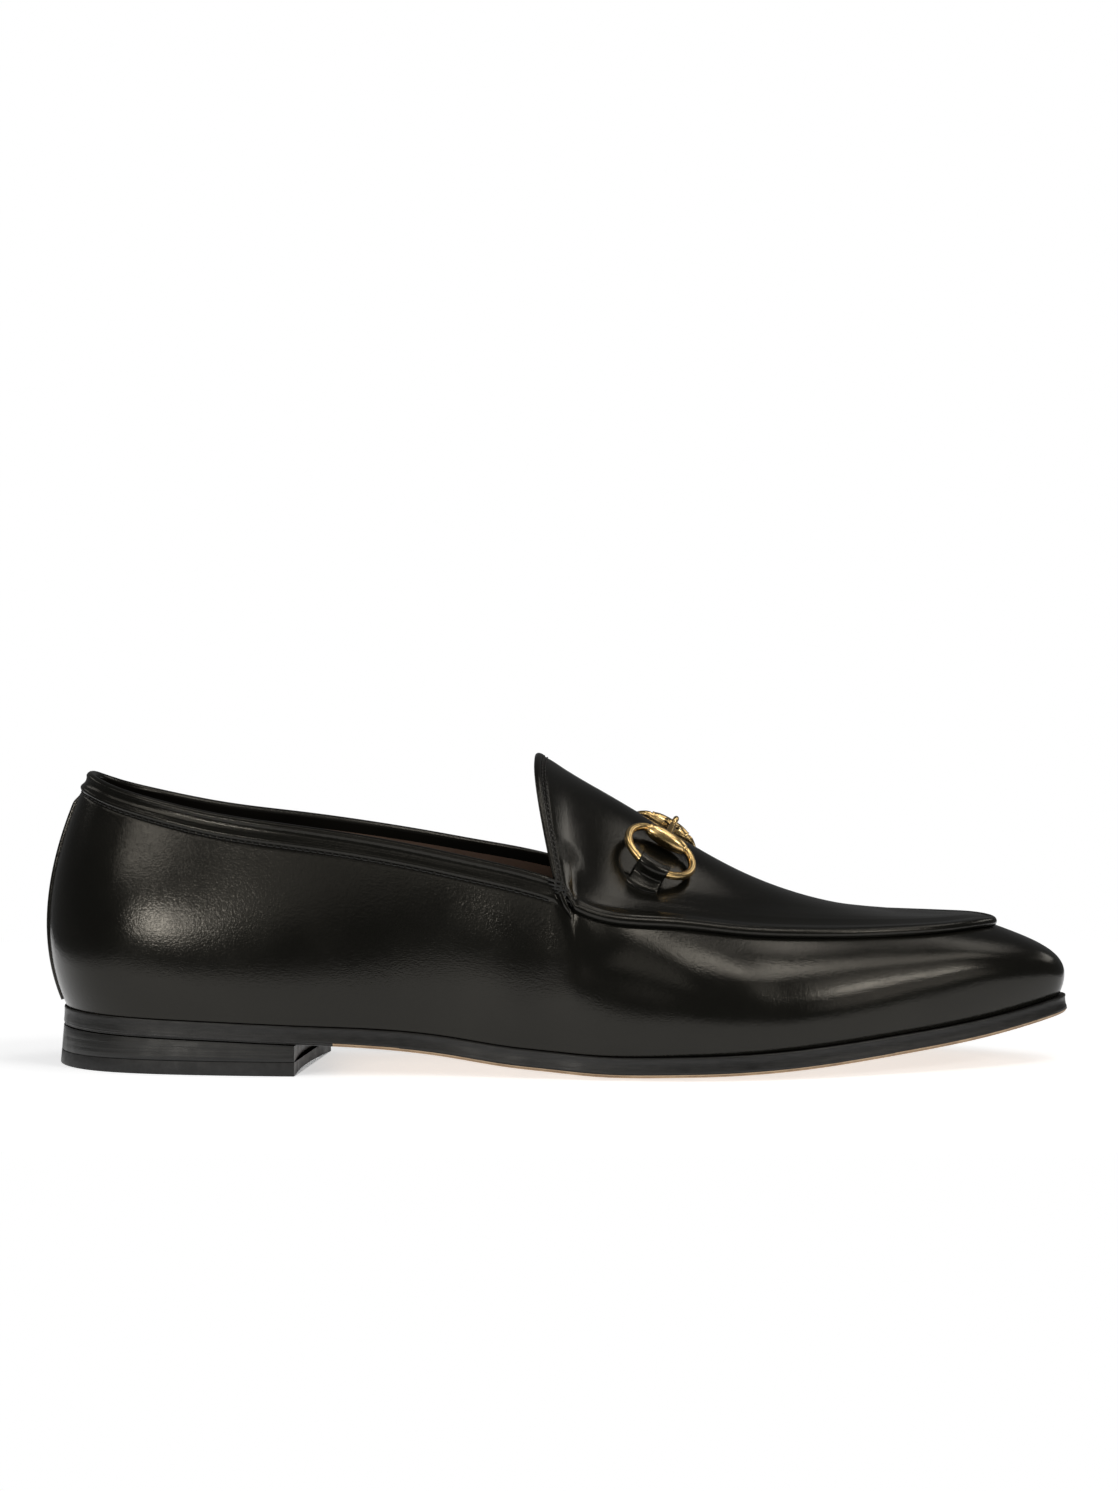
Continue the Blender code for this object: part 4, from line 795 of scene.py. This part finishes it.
def outsole(edge, tan):
    """The outsole with its undercut side, dyed black down to a thin natural band, and its tan bottom."""
    places = column_places()[::2]
    # Over the heel the side is nearly flush with the layers under it
    relief = SIDE_AT_HEEL + (1 - SIDE_AT_HEEL) * smoothstep(0.2, 0.3, LAST(places)[:, :1] / LENGTH)
    sides = []
    for share, outset in SOLE_SIDE:
        line = sole_outline(places, outset * SOLE_THICKNESS * relief)
        level = sole_bottom(line[:, 0], line[:, 1]) + share * sole_thickness(line[:, 0])
        sides.append(np.column_stack([line, level]))
    outlines, heights = (sides[0], sides[-1]), (sole_bottom, sole_top)
    made = plate("outsole_leather", outlines, heights, sides[1:-1], [edge, tan], ("outsole",), "sole_leather")
    # In front of the heel the bottom and the side's lower rim are tan
    for face in made.data.polygons:
        x, y, z = np.array(face.center) - SHIFT
        is_low = z - sole_bottom(x, y) < TAN_SHARE * SOLE_THICKNESS
        face.material_index = int(is_low and x > TAN_FROM * LENGTH)


def insole(lining):
    """The sock that lies in the shoe, its edge rounded off."""
    places = column_places()[::2]
    height = wall_height(places)
    loops = []
    for level, inset in INSOLE_EDGE:
        share = (level * INSOLE_THICKNESS / height / 0.9)[:, None]
        inside = (wall_points(places, share) - (WALL + GAP) * wall_normals(places, share))[:, 0]
        line = inside[:, :2] - plan_normals(places, 0)[:, :2] * (0.25 * MM + inset * INSOLE_THICKNESS)
        top_at = sole_top(line[:, 0], line[:, 1]) + GAP + level * INSOLE_THICKNESS
        loops.append(np.column_stack([line, top_at]))

    def low(x, y):
        return sole_top(x, y) + GAP

    def high(x, y):
        return low(x, y) + INSOLE_THICKNESS

    sides = loops[0], loops[-1]
    plate("insole_sock", sides, (low, high), loops[1:-1], [lining], ("insole",), "lining_leather")


def heel_outline(outset):
    """The heel in plan: the sole's outline round the back, and a breast line hollowed towards the heel."""
    halves, corners = [], []
    share = np.linspace(0, 1, HEEL_COLUMNS + 1)
    breast_share = np.linspace(0, 0.5, BREAST_COLUMNS + 1)[1:, None]
    for first, breast in ((0.0, HEEL_BREAST_LATERAL), (1.0, HEEL_BREAST_MEDIAL)):
        places = np.interp(breast * LENGTH, *BREAST_READER[int(first)])
        halves.append(sole_outline(first + (places - first) * share, outset))
        corners.append(halves[-1][-1])
    for i in (0, 1):
        line = corners[i] * (1 - breast_share) + corners[1 - i] * breast_share
        line[:, 0] -= BREAST_HOLLOW * np.sin(math.pi * breast_share[:, 0])
        halves[i] = np.vstack([halves[i], line])
    return np.vstack([halves[0], halves[1][-2:0:-1]])


def heel_layer(name, heights, outsets, side, material, node, slot):
    """One layer of the heel. side is a table: share of the way up, and outset in millimetres."""
    bottom, top = heights
    loops = []
    for share, extra in side:
        line = heel_outline(outsets[0] + (outsets[1] - outsets[0]) * share + extra * MM)
        low, high = bottom(line[:, 0], line[:, 1]), top(line[:, 0], line[:, 1])
        loops.append(np.column_stack([line, low + share * (high - low)]))
    plate(name, (loops[0], loops[-1]), heights, loops[1:-1], [material], (node,), slot)


def heel(stack, rubber):
    """The heel's leather layers, each edge a shallow line, and the rubber top piece under them."""
    flare = np.interp(TOP_PIECE_THICKNESS, [0, HEEL_HEIGHT], [HEEL_FLARE, 0])

    def floor(x, _):
        return np.zeros(np.shape(x))

    def joint(x, _):
        return np.full(np.shape(x), TOP_PIECE_THICKNESS)

    def over_joint(x, y):
        return joint(x, y) + GAP / 3

    def seat(x, y):
        return sole_bottom(x, y) - GAP

    layers = [*HEEL_START]
    for line in HEEL_LINES:
        layers += [(line - HEEL_LINE_WIDTH, 0.0), (line, -HEEL_LINE_DEPTH), (line + HEEL_LINE_WIDTH, 0.0)]
    layers += HEEL_END
    heights, outsets = (floor, joint), (HEEL_FLARE, flare)
    heel_layer("heel_top_piece", heights, outsets, TOP_PIECE_SIDE, rubber, "top_piece", "top_piece_rubber")
    heights, outsets = (over_joint, seat), (flare, 0)
    heel_layer("heel_layers", heights, outsets, layers, stack, "heel_stack", "heel_leather")


def wall_strip(name, places, shares, heights, leather, replaced=()):
    """A strip of leather on the side wall: places around the shoe, shares of the way up and the height over
    the wall, all as grids of rows along the strip."""
    rows, columns = places.shape
    flat = places.ravel(), shares.reshape(-1, 1)
    skin, normal = (found.reshape(rows, columns, 3) for found in (wall_points(*flat), wall_normals(*flat)))
    grid = Grid()
    low, high = grid.add(skin - STRIP_SINK * normal), grid.add(skin + heights[..., None] * normal)
    grid.quads(low[:, ::-1])
    grid.quads(high)
    grid.quads(np.column_stack([rim_of(low), rim_of(high)]), closed=True)
    return grid.piece(name, [leather], replaced)


def rim_of(numbers):
    """The numbers round the rim of a grid of point numbers."""
    return np.concatenate([numbers[0, :-1], numbers[:-1, -1], numbers[-1, :0:-1], numbers[:0:-1, 0]])


def blunt(x, power, least=0.0):
    """How thick a blunt-ended form is at x, which runs from -1 to 1: full in the middle, thin at its ends."""
    return np.sqrt(np.maximum(1 - x**power, least))


def dome(across):
    return blunt(DOME_WIDTH * across, 4)


def back_strip(leather):
    """The narrow strip over the seam up the back of the heel, domed from side to side."""
    length = wall_height(np.zeros(1))
    across, along = np.meshgrid(np.linspace(-1, 1, 13), np.linspace(0, 1, 80))
    places = across * BACK_STRIP_WIDTH / 2 / OUTLINE_LENGTH
    shares = STRIP_START + (1 - STRIP_START - STRIP_END * COLLAR_BAND_WIDTH / length) * along
    heights = (GAP + BACK_STRIP_THICKNESS) * dome(across) * smoothstep(1.0, 0.94, along)
    wall_strip("back_strip_leather", places, shares, heights, leather, ("back_strip",))


def throat_tabs(leather):
    """The end of the tongue's hem at each throat, which runs on down over the side wall."""
    across, along = np.meshgrid(np.linspace(-1, 1, 15), np.linspace(0, 1, 40))
    for name, throat, seam in THROATS:
        width = TAB_WIDTH / 2 / OUTLINE_LENGTH * (1 - 0.25 * along)
        places = throat + (seam - throat) * (TAB_START + (TAB_END - TAB_START) * along) + across * width
        shares = 1 - TAB_LENGTH * along / wall_height(places.ravel()).reshape(places.shape)
        heights = TAB_THICKNESS * dome(across) * dome(2 * along - 1)
        wall_strip(name + "_throat_tab", places, shares, heights, leather)


class Surface:
    """A mesh in the last's own axes as something to rest pieces on."""

    def __init__(self, body):
        points = [Vector(v.co) - Vector(SHIFT) for v in body.data.vertices]
        self.tree = BVHTree.FromPolygons(points, [tuple(p.vertices) for p in body.data.polygons])

    def below(self, point, down):
        hit = self.tree.ray_cast(Vector(point) - Vector(down) * 30 * MM, Vector(down))[0]
        return np.array(hit)

    def clearance(self, points):
        return min(self.tree.find_nearest(Vector(p))[3] for p in points)


def add_tube(grid, centres, sideways, radii, sides, closed=False):
    """Adds a tube round a line of centres to the grid and returns the grid."""
    centres = np.asarray(centres, float)
    if closed:
        along = unit(np.roll(centres, -1, axis=0) - np.roll(centres, 1, axis=0))
    else:
        along = unit(np.gradient(centres, axis=0))
    across = unit(np.cross(along, np.broadcast_to(sideways, centres.shape)))
    upward = np.cross(across, along)
    radii = np.broadcast_to(radii, len(centres))[:, None, None]
    turn = np.linspace(0, 2 * math.pi, sides, endpoint=False)[None, :, None]
    rings = centres[:, None] + radii * (np.cos(turn) * across[:, None] + np.sin(turn) * upward[:, None])
    numbers = grid.add(rings)
    grid.quads(np.column_stack([numbers, numbers[:, :1]]), closed=closed)
    if not closed:
        grid.face(numbers[0])
        grid.face(numbers[-1][::-1])
    return grid


def joined(name, grids, brass, node):
    """One piece from solids that overlap."""
    solids = [grid.piece(f"{name}_{number}", [brass], weld=FINE_WELD) for number, grid in enumerate(grids)]
    target = solids[0]
    for other in solids[1:]:
        union = target.modifiers.new("join", "BOOLEAN")
        union.operation, union.solver, union.object = "UNION", "EXACT", other
    mesh = bpy.data.meshes.new_from_object(target.evaluated_get(bpy.context.evaluated_depsgraph_get()))
    for solid in solids:
        bpy.data.objects.remove(solid)
    mesh.name = name
    return finish_piece(name, mesh, (node,), 50)


def bit_axes(surface):
    """The crest's point under the bit's middle, the direction along the crest and the one up from it."""
    shares = BIT_PLACE + np.array([-0.01, 0.01])
    sides = [throat + (TIP - throat) * shares for _, throat, _ in THROATS]
    line = apron_points(*sides, [1.0])[0][:, 0]
    along = unit((line[1] - line[0]) * (1, 0, 1))
    up = np.cross(along, ACROSS)
    return surface.below(line.mean(axis=0) + BIT_SHIFT * ACROSS, -up), along, up


def barrel_place(surface, crest, side, along, up):
    """The middle of one side's barrel, raised until the barrel clears the apron."""
    lift = BARREL_RADIUS + GAP
    reach = np.linspace(-BARREL_LENGTH / 2, BARREL_LENGTH / 2, 5)
    barrel = surface.below(crest + side * BARREL_SPREAD / 2, -up) + lift * up
    while surface.clearance([barrel + r * along for r in reach]) < lift:
        barrel = barrel + 0.1 * MM * up
    return barrel


def bar(name, crest, barrel, side, along, up, brass):
    """One side's bar with its barrel and eye. The two eyes stand crosswise, as linked eyes do."""
    eye = crest + (EYE_RADIUS + EYE_WIRE + GAP) * up + side * EYE_RADIUS / 2
    eye_up = up if side[1] < 0 else along
    turn = np.linspace(0, 2 * math.pi, 48, endpoint=False)[:, None]
    eye_centres = eye + EYE_RADIUS * (np.cos(turn) * side + np.sin(turn) * eye_up)
    profile = np.array([(-a, b) for a, b in BARREL_SIDE[:0:-1]] + BARREL_SIDE)
    barrel_centres = barrel + BARREL_LENGTH / 2 * profile[:, :1] * along
    tip = eye + side * (EYE_RADIUS + 0.3 * EYE_WIRE)
    share = np.linspace(SHANK_START, 1, 16)[:, None]
    shank_radii = BAR_ROOT_RADIUS + (BAR_TIP_RADIUS - BAR_ROOT_RADIUS) * share[:, 0]
    grids = [
        add_tube(Grid(), barrel_centres, up, BARREL_RADIUS * profile[:, 1], 56),
        add_tube(Grid(), barrel + (tip - barrel) * share, along, shank_radii, 24),
        add_tube(Grid(), eye_centres, np.cross(side, eye_up), EYE_WIRE, 20, closed=True),
    ]
    joined(name + "_bar_brass", grids, brass, name + "_bar")


def ring_centres(barrel, along, outward, steps):
    """The centre line of a ring: an oval, cut straight where it runs through its barrel."""
    chord = math.sqrt(1 - (RING_CHORD / RING_LENGTH) ** 2)
    across = RING_DEPTH / (1 + chord)
    start = math.acos(-chord)
    turn = np.linspace(-start, start, steps)[:, None]
    arc = barrel + outward * across * (np.cos(turn) + chord) + along * RING_LENGTH / 2 * np.sin(turn)
    rest = np.linspace(arc[-1], arc[0], 5)[1:-1]
    return np.vstack([arc, rest])


def ring_outward(surface, barrel, side, along, up):
    """The direction out from the barrel in which a ring lies, as steeply down as the apron lets it."""
    far_lift = RING_WIRE + 2 * GAP + LOOP_THICKNESS
    for tilt in np.radians(np.arange(70, -1, -1)):
        outward = side * math.cos(tilt) - up * math.sin(tilt)
        centres = ring_centres(barrel, along, outward, 25)
        outer = [c for c in centres if (c - barrel) @ outward > 0.75 * RING_DEPTH]
        if surface.clearance(centres) > RING_WIRE + GAP and surface.clearance(outer) > far_lift:
            return outward
    return side


def bit_side(name, hand, surface, brass, leather):
    """One side of the snaffle bit, placed as in the CAD: the bar with barrel and eye, the ring, the loop."""
    crest, along, up = bit_axes(surface)
    side = hand * ACROSS
    barrel = barrel_place(surface, crest, side, along, up)
    bar(name, crest, barrel, side, along, up, brass)
    outward = ring_outward(surface, barrel, side, along, up)
    normal = np.cross(along, outward)
    normal = normal * np.sign(normal[2])
    centres = ring_centres(barrel, along, outward, 110)
    ring = add_tube(Grid(), centres, normal, RING_WIRE, 24, closed=True)
    ring.piece(name + "_ring_brass", [brass], (name + "_ring",), "brass", weld=FINE_WELD)
    strap_loop(name, centres, barrel, (along, outward, normal), surface, leather)


def strap_loop(name, centres, barrel, axes, surface, leather):
    """A leather loop round the far side of a ring, with its tail flat on the apron."""
    along, outward, normal = axes
    inner_radius = RING_WIRE + 0.1 * MM
    outer_radius = RING_WIRE + GAP + LOOP_THICKNESS
    order = np.argsort((centres - barrel) @ along)
    far = np.array([c for c in centres[order] if (c - barrel) @ outward > RING_DEPTH / 2])
    reach = (far - barrel) @ along
    inner_rings, outer_rings = [], []
    for share in LOOP_ACROSS:
        centre = rows_at(share * LOOP_WIDTH / 2, reach, far)
        # The strap's long edges are softened a little
        soft = 1 - LOOP_EDGE_THINNING * (abs(share) > LOOP_EDGE)
        inner, outer = [], []
        for angle, width, height in LOOP_SECTION:
            turn = math.radians(angle)
            ray = math.cos(turn) * outward + math.sin(turn) * normal
            inner.append(centre + inner_radius * ray)
            if height is None:
                outer.append(centre + outer_radius * soft * ray)
                continue
            place = centre + outward * (width * outer_radius + (width > 1) * LOOP_TAIL * (width - 1))
            ground = surface.below(place, -normal)
            outer.append(ground + normal * (0.05 * MM + height * LOOP_THICKNESS * soft))
        inner_rings.append(resampled(inner, LOOP_POINTS))
        outer_rings.append(resampled(outer, LOOP_POINTS))
    grid = Grid()
    inner, outer = grid.add(inner_rings), grid.add(outer_rings)
    inner, outer = (np.column_stack([n, n[:, :1]]) for n in (inner, outer))
    grid.quads(inner[:, ::-1])
    grid.quads(outer)
    for end, step in ((0, -1), (-1, 1)):
        grid.quads(np.array([inner[end], outer[end]])[::step])
    grid.piece(name + "_loop_leather", [leather], (name + "_loop",), smooth_angle=45)
    slit_lip(name, far, barrel, axes, surface, leather)


def slit_lip(name, far, barrel, axes, surface, leather):
    """The raised lip of the slit in the apron that a loop is sewn into."""
    along, outward, normal = axes
    middle = barrel + outward * ((far - barrel) @ outward).max()
    share = np.linspace(-0.5, 0.5, 25)
    places = [middle + along * SLIT_LENGTH * s + outward * SLIT_OUT * (1 - 0.8 * s * s) for s in share]
    line = np.array([surface.below(place, -normal) for place in places])
    grid = add_tube(Grid(), line, normal, SLIT_LIP * blunt(2 * share, 4, 0.03), 12)
    grid.piece(name + "_loop_slit", [leather], weld=FINE_WELD)


def resampled(points, count):
    """A closed smooth curve through points, as count points evenly spread over them."""
    points = np.array(points)
    knots = run_along(np.vstack([points, points[:1]]))
    return Spline(knots, points, closed=True)(np.linspace(0, knots[-1], count, endpoint=False))


def stitches(name, path, outward, sizes, thread):
    """A row of short rounded stitches along a path. outward holds one direction out of the leather a point,
    and sizes the stitches' pitch, length and radius."""
    pitch, length, radius = sizes
    run = run_along(path)
    at = np.arange(pitch, run[-1] - pitch / 2, pitch)
    middle, out = rows_at(at, run, path), unit(rows_at(at, run, outward))
    along = unit(rows_at(at + pitch / 4, run, path) - rows_at(at - pitch / 4, run, path))
    side = unit(np.cross(out, along))
    turns = np.linspace(0, 2 * math.pi, 8, endpoint=False)
    rings = []
    for share, scale in STITCH_SHAPE:
        # Each stitch dips into the leather at its ends
        height = radius * (1 - STITCH_SINK) * (1 - 1.6 * (2 * share) ** 4)
        centre = middle + along * length * share + out * height
        ring = [centre + radius * scale * (math.cos(t) * side + math.sin(t) * out) for t in turns]
        rings.append(np.stack(ring, axis=1))
    grid = Grid()
    for numbers in grid.add(np.stack(rings, axis=1)):
        grid.quads(np.column_stack([numbers, numbers[:, :1]]))
    grid.piece(name, [thread], weld=STITCH_WELD)


def collar_stitches(thread):
    """The row of stitches in the groove under the collar band, from throat to throat round the heel."""
    places = np.linspace(MEDIAL_THROAT - 1, LATERAL_THROAT, 400)
    share = (1 - COLLAR_GROOVE * COLLAR_BAND_WIDTH / wall_height(places))[:, None]
    normal = wall_normals(places, share)[:, 0]
    path = wall_points(places, share)[:, 0] - 0.25 * MM * normal
    stitches("collar_stitches", path, normal, COLLAR_STITCH, thread)


def hem_stitches(thread):
    """Two rows of stitches along the tongue's rear edge, over the crest from side to side."""
    skins, normals = apron_skin(apron_rows())
    runs = [arc_from(skin, 0) for skin in skins]
    for number, distance in enumerate(HEM_STITCHES):
        lines = []
        for halves in (skins, normals):
            lateral, medial = (
                np.array([rows_at(distance, run[:, j], half[:, j]) for j in range(half.shape[1])])
                for run, half in zip(runs, halves)
            )
            lines.append(np.vstack([lateral, medial[-2::-1]]))
        stitches(f"hem_stitches_{number + 1}", *lines, HEM_STITCH, thread)


def throat_tacks(thread):
    """The bar tack at each throat corner: a few long turns of thread over the end of the seam."""
    step = LATERAL_SEAM - LATERAL_THROAT
    for name, throat, way in (("lateral", LATERAL_THROAT, step), ("medial", MEDIAL_THROAT, -step)):
        _, top, _, top_out, _ = wall_frame(np.array([throat, throat + way]))
        ends = top + 1.1 * MM * top_out
        down = unit(ends[1] - ends[0])
        out = unit(top_out.mean(axis=0))
        across = unit(np.cross(out, down))
        share = np.linspace(0, 1, 13)[:, None]
        grid = Grid()
        for *places, rise in TACK_TURNS:
            start, end = (ends[0] + (down * a + across * b) * MM for a, b in (places[:2], places[2:]))
            lift = rise * MM * np.sin(math.pi * share)
            centres = start + (end - start) * share + out * (lift - TACK_SINK)
            add_tube(grid, centres, out, TACK_RADIUS * blunt(2 * share[:, 0] - 1, 6, 0.05), 8)
        grid.piece(name + "_tack", [thread], weld=FINE_WELD)


class Look:
    """One material with its node tree and its shader."""

    def __init__(self, name):
        self.material = bpy.data.materials.new(name)
        self.material.use_nodes = True
        self.tree = self.material.node_tree
        self.shader = self.tree.nodes["Principled BSDF"]

    def fill(self, node, values):
        """Sets a node's inputs. A value that is another node's output is linked."""
        for key, value in values.items():
            if isinstance(value, bpy.types.NodeSocket):
                self.tree.links.new(value, node.inputs[key])
            else:
                node.inputs[key].default_value = value

    def node(self, kind, values):
        made = self.tree.nodes.new("ShaderNode" + kind)
        self.fill(made, values)
        return made

    def place(self):
        return self.node("TexCoord", {}).outputs["Object"]

    def noise(self, scale, detail, roughness=0.5, stretch=None):
        """A noise texture in the row's own coordinates. scale is its cells a metre."""
        place = self.place()
        if stretch:
            place = self.node("Mapping", {"Vector": place, "Scale": stretch}).outputs["Vector"]
        values = {"Vector": place, "Scale": scale, "Detail": detail, "Roughness": roughness}
        return self.node("TexNoise", values).outputs["Fac"]

    def pores(self, scale):
        """A net of leather pores: the distance to the nearest cell border."""
        cells = self.node("TexVoronoi", {"Vector": self.place(), "Scale": scale})
        cells.feature = "DISTANCE_TO_EDGE"
        return cells.outputs["Distance"]

    def bump(self, height, distance, strength, under=None):
        values = {"Height": height, "Distance": distance, "Strength": strength}
        if under:
            values["Normal"] = under
        return self.node("Bump", values).outputs["Normal"]

    def spread(self, value, low, high):
        """Maps the middle of a noise's range to low and high."""
        values = {"Value": value, "To Min": low, "To Max": high}
        values.update({"From Min": NOISE_LOW, "From Max": NOISE_HIGH})
        return self.node("MapRange", values).outputs["Result"]

    def blend(self, share, first, second):
        """A colour from first to second over the middle of a noise's range."""
        made = self.node("ValToRGB", {"Fac": share})
        ends = ((NOISE_LOW, first), (NOISE_HIGH, second))
        for element, (position, colour) in zip(made.color_ramp.elements, ends):
            element.position, element.color = position, (*colour, 1)
        return made.outputs["Color"]

    def surface(self, values):
        self.fill(self.shader, values)
        return self.material


def leather(name, colours, roughness, grain, specular, crinkled=False):
    """Grained leather. colours and roughness are pairs that it varies between, and grain scales its bump."""
    look = Look(name)
    normal = look.bump(look.noise(60, 1), 0.09 * MM, 0.35)
    normal = look.bump(look.noise(420, 1), 0.012 * MM, 0.5 * grain, normal)
    normal = look.bump(look.pores(1800), 0.05 * MM, 0.5 * grain, normal)
    normal = look.bump(look.noise(1500, 1, 0.6), 0.045 * MM, 0.6 * grain, normal)
    if crinkled:
        normal = crinkles(look, normal)
    return look.surface(
        {
            "Specular IOR Level": specular,
            "Specular Tint": (1.0, 0.96, 0.88, 1),
            "Base Color": look.blend(look.noise(55, 2), *colours),
            "Roughness": look.spread(look.noise(140, 1), *roughness),
            "Normal": normal,
        }
    )


def crinkles(look, under):
    """Bump of fine crossing folds inside one small patch, fading out towards its rim."""
    away = look.node("VectorMath", {0: look.place(), 1: np.array(CRINKLED) * MM + SHIFT})
    away.operation = "DISTANCE"
    rim = {"From Min": 0.3 * CRINKLED_RADIUS, "From Max": CRINKLED_RADIUS, "To Min": 1.0, "To Max": 0.0}
    fade = look.node("MapRange", {"Value": away.outputs["Value"], **rim})
    fade.interpolation_type = "SMOOTHSTEP"
    folds = look.noise(900, 3, 0.6, (1.0, 1.0, 2.2))
    depth = look.node("Math", {0: folds, 1: fade.outputs["Result"]})
    depth.operation = "MULTIPLY"
    return look.bump(depth.outputs["Value"], 0.45 * MM, 0.8, under)


def polished(name, colours, roughness):
    """Cast and polished metal, a little uneven and scratched."""
    look = Look(name)
    dents = look.bump(look.noise(260, 1), 0.015 * MM, 0.2)
    scratches = look.noise(2200, 2, 0.5, (1.0, 5.0, 2.0))
    return look.surface(
        {
            "Metallic": 1.0,
            "Base Color": look.blend(look.noise(260, 3), *colours),
            "Roughness": look.spread(look.noise(700, 4), *roughness),
            "Normal": look.bump(scratches, 0.004 * MM, 0.15, dents),
        }
    )


def layered(name, colours, roughness, stretch, scale, depth):
    """Cut edges, sole leather, rubber and thread: fibres or fine lines drawn out along one way."""
    look = Look(name)
    lines = look.noise(scale, 3, 0.6, stretch)
    ridges = look.bump(lines, depth * MM, 0.6)
    return look.surface(
        {
            "Specular IOR Level": 0.35,
            "Base Color": look.blend(lines, *colours),
            "Roughness": look.spread(look.noise(220, 3), *roughness),
            "Normal": look.bump(look.noise(2600, 3, 0.6), 0.06 * MM, 0.5, ridges),
        }
    )


def floor_material():
    return Look("floor").surface(
        {
            "Base Color": (0.87, 0.90, 0.96, 1),
            "Roughness": 0.55,
            "Specular IOR Level": 0.3,
            "Emission Color": (1.0, 1.0, 1.0, 1),
            "Emission Strength": TABLE_GLOW,
        }
    )


def backdrop_material():
    """Plain white light, which sends no ray on."""
    look = Look("backdrop")
    white = look.node("Emission", {"Color": (1.0, 1.0, 1.0, 1), "Strength": 1.0})
    look.fill(look.tree.nodes["Material Output"], {"Surface": white.outputs["Emission"]})
    look.tree.nodes.remove(look.shader)
    return look.material


def studio():
    """The small pale table under the shoe, and the pale wall round it that only the camera sees."""
    bpy.ops.mesh.primitive_plane_add(size=1, location=(*TABLE_MIDDLE, 0))
    floor = bpy.context.object
    floor.scale = (*TABLE_SIDES, 1)
    bpy.ops.object.transform_apply(location=True, rotation=False, scale=True)
    floor.name = "floor"
    floor.data.materials.append(floor_material())
    bpy.ops.mesh.primitive_uv_sphere_add(segments=64, ring_count=32, radius=STUDIO_RADIUS, location=(0, 0, 0))
    backdrop = bpy.context.object
    backdrop.name = "backdrop"
    backdrop.data.materials.append(backdrop_material())
    for ray in ("diffuse", "glossy", "transmission", "shadow", "volume_scatter"):
        setattr(backdrop, "visible_" + ray, False)


def soft_light(name, azimuth, elevation, width, height, radiance):
    """A rectangular softbox round the shoe. Azimuth 0 stands at the camera's side, 90 at the toe."""
    turn, rise = math.radians(azimuth), math.radians(elevation)
    away = Vector((math.sin(turn) * math.cos(rise), -math.cos(turn) * math.cos(rise), math.sin(rise)))
    light = bpy.data.lights.new(name, "AREA")
    light.shape, light.size, light.size_y = "RECTANGLE", width, height
    light.energy = radiance * math.pi * width * height
    light.color = LIGHT_COLOUR
    made = bpy.data.objects.new(name, light)
    made.location = Vector(LIGHT_AIM) + away * LIGHT_DISTANCE
    made.rotation_euler = away.to_track_quat("Z", "Y").to_euler()
    bpy.context.scene.collection.objects.link(made)


def lights():
    for light in LIGHTS:
        soft_light(*light)
    world = bpy.data.worlds.new("studio")
    world.use_nodes = True
    world.node_tree.nodes["Background"].inputs["Color"].default_value = (1, 1, 1, 1)
    world.node_tree.nodes["Background"].inputs["Strength"].default_value = WORLD_LEVEL
    bpy.context.scene.world = world


def camera():
    """The photo's camera: level with the shoe's side and a little above it."""
    away, drop = -CAMERA_PLACE[1], CAMERA_PLACE[2] - AIM_HEIGHT
    focal_pixels = PIXELS_PER_MM * math.hypot(away, drop)
    lens = bpy.data.cameras.new("camera")
    lens.sensor_fit, lens.sensor_width = "HORIZONTAL", SENSOR
    lens.lens = focal_pixels * SENSOR / PHOTO_WIDTH
    made = bpy.data.objects.new("camera", lens)
    made.location = Vector(np.array(CAMERA_PLACE) * MM + SHIFT)
    made.rotation_euler = (math.pi / 2 - math.atan(drop / away), 0, 0)
    bpy.context.scene.collection.objects.link(made)
    bpy.context.scene.camera = made


camera()
BLACK = ((0.0042, 0.0042, 0.0034), (0.0062, 0.0061, 0.0050))
BROWN = ((0.105, 0.070, 0.054), (0.150, 0.098, 0.074))
NATURAL = ((0.30, 0.20, 0.12), (0.42, 0.30, 0.19))
EDGE_BLACK = ((0.008, 0.008, 0.0075), (0.016, 0.0155, 0.015))
STACK_BLACK = ((0.006, 0.006, 0.006), (0.020, 0.020, 0.019))
RUBBER_BLACK = ((0.008, 0.008, 0.008), (0.014, 0.014, 0.014))
THREAD_BLACK = ((0.008, 0.008, 0.008), (0.022, 0.021, 0.020))
GOLD = ((0.74, 0.51, 0.22), (0.80, 0.57, 0.27))
CALF = leather("black_calf", BLACK, (0.16, 0.19), 1.0, 0.31, crinkled=True)
LINING = leather("dark_lining", BROWN, (0.4, 0.5), 0.8, 0.5)
EDGE = layered("black_sole_edge", EDGE_BLACK, (0.34, 0.5), (1, 1, 9), 260, 0.05)
TAN = layered("tan_sole_leather", NATURAL, (0.45, 0.6), (0.35, 1, 1), 500, 0.04)
STACK = layered("stacked_heel_leather", STACK_BLACK, (0.34, 0.5), (0.25, 0.25, 14), 160, 0.07)
RUBBER = layered("black_rubber", RUBBER_BLACK, (0.45, 0.6), (1, 1, 1), 700, 0.02)
BRASS = polished("brass", GOLD, (0.20, 0.27))
THREAD = layered("black_thread", THREAD_BLACK, (0.4, 0.6), (1, 1, 1), 3000, 0.05)

upper_wall([CALF, LINING])
apron([CALF, LINING])
back_strip(CALF)
throat_tabs(CALF)
insole(LINING)
outsole(EDGE, TAN)
heel(STACK, RUBBER)
CAD_UPPER = Surface(frame["nodes"]["upper"])
for side_name, side_hand in (("lateral", -1), ("medial", 1)):
    bit_side(side_name, side_hand, CAD_UPPER, BRASS, CALF)
collar_stitches(THREAD)
hem_stitches(THREAD)
throat_tacks(THREAD)
studio()
lights()
bpy.context.scene.view_settings.view_transform = "Standard"
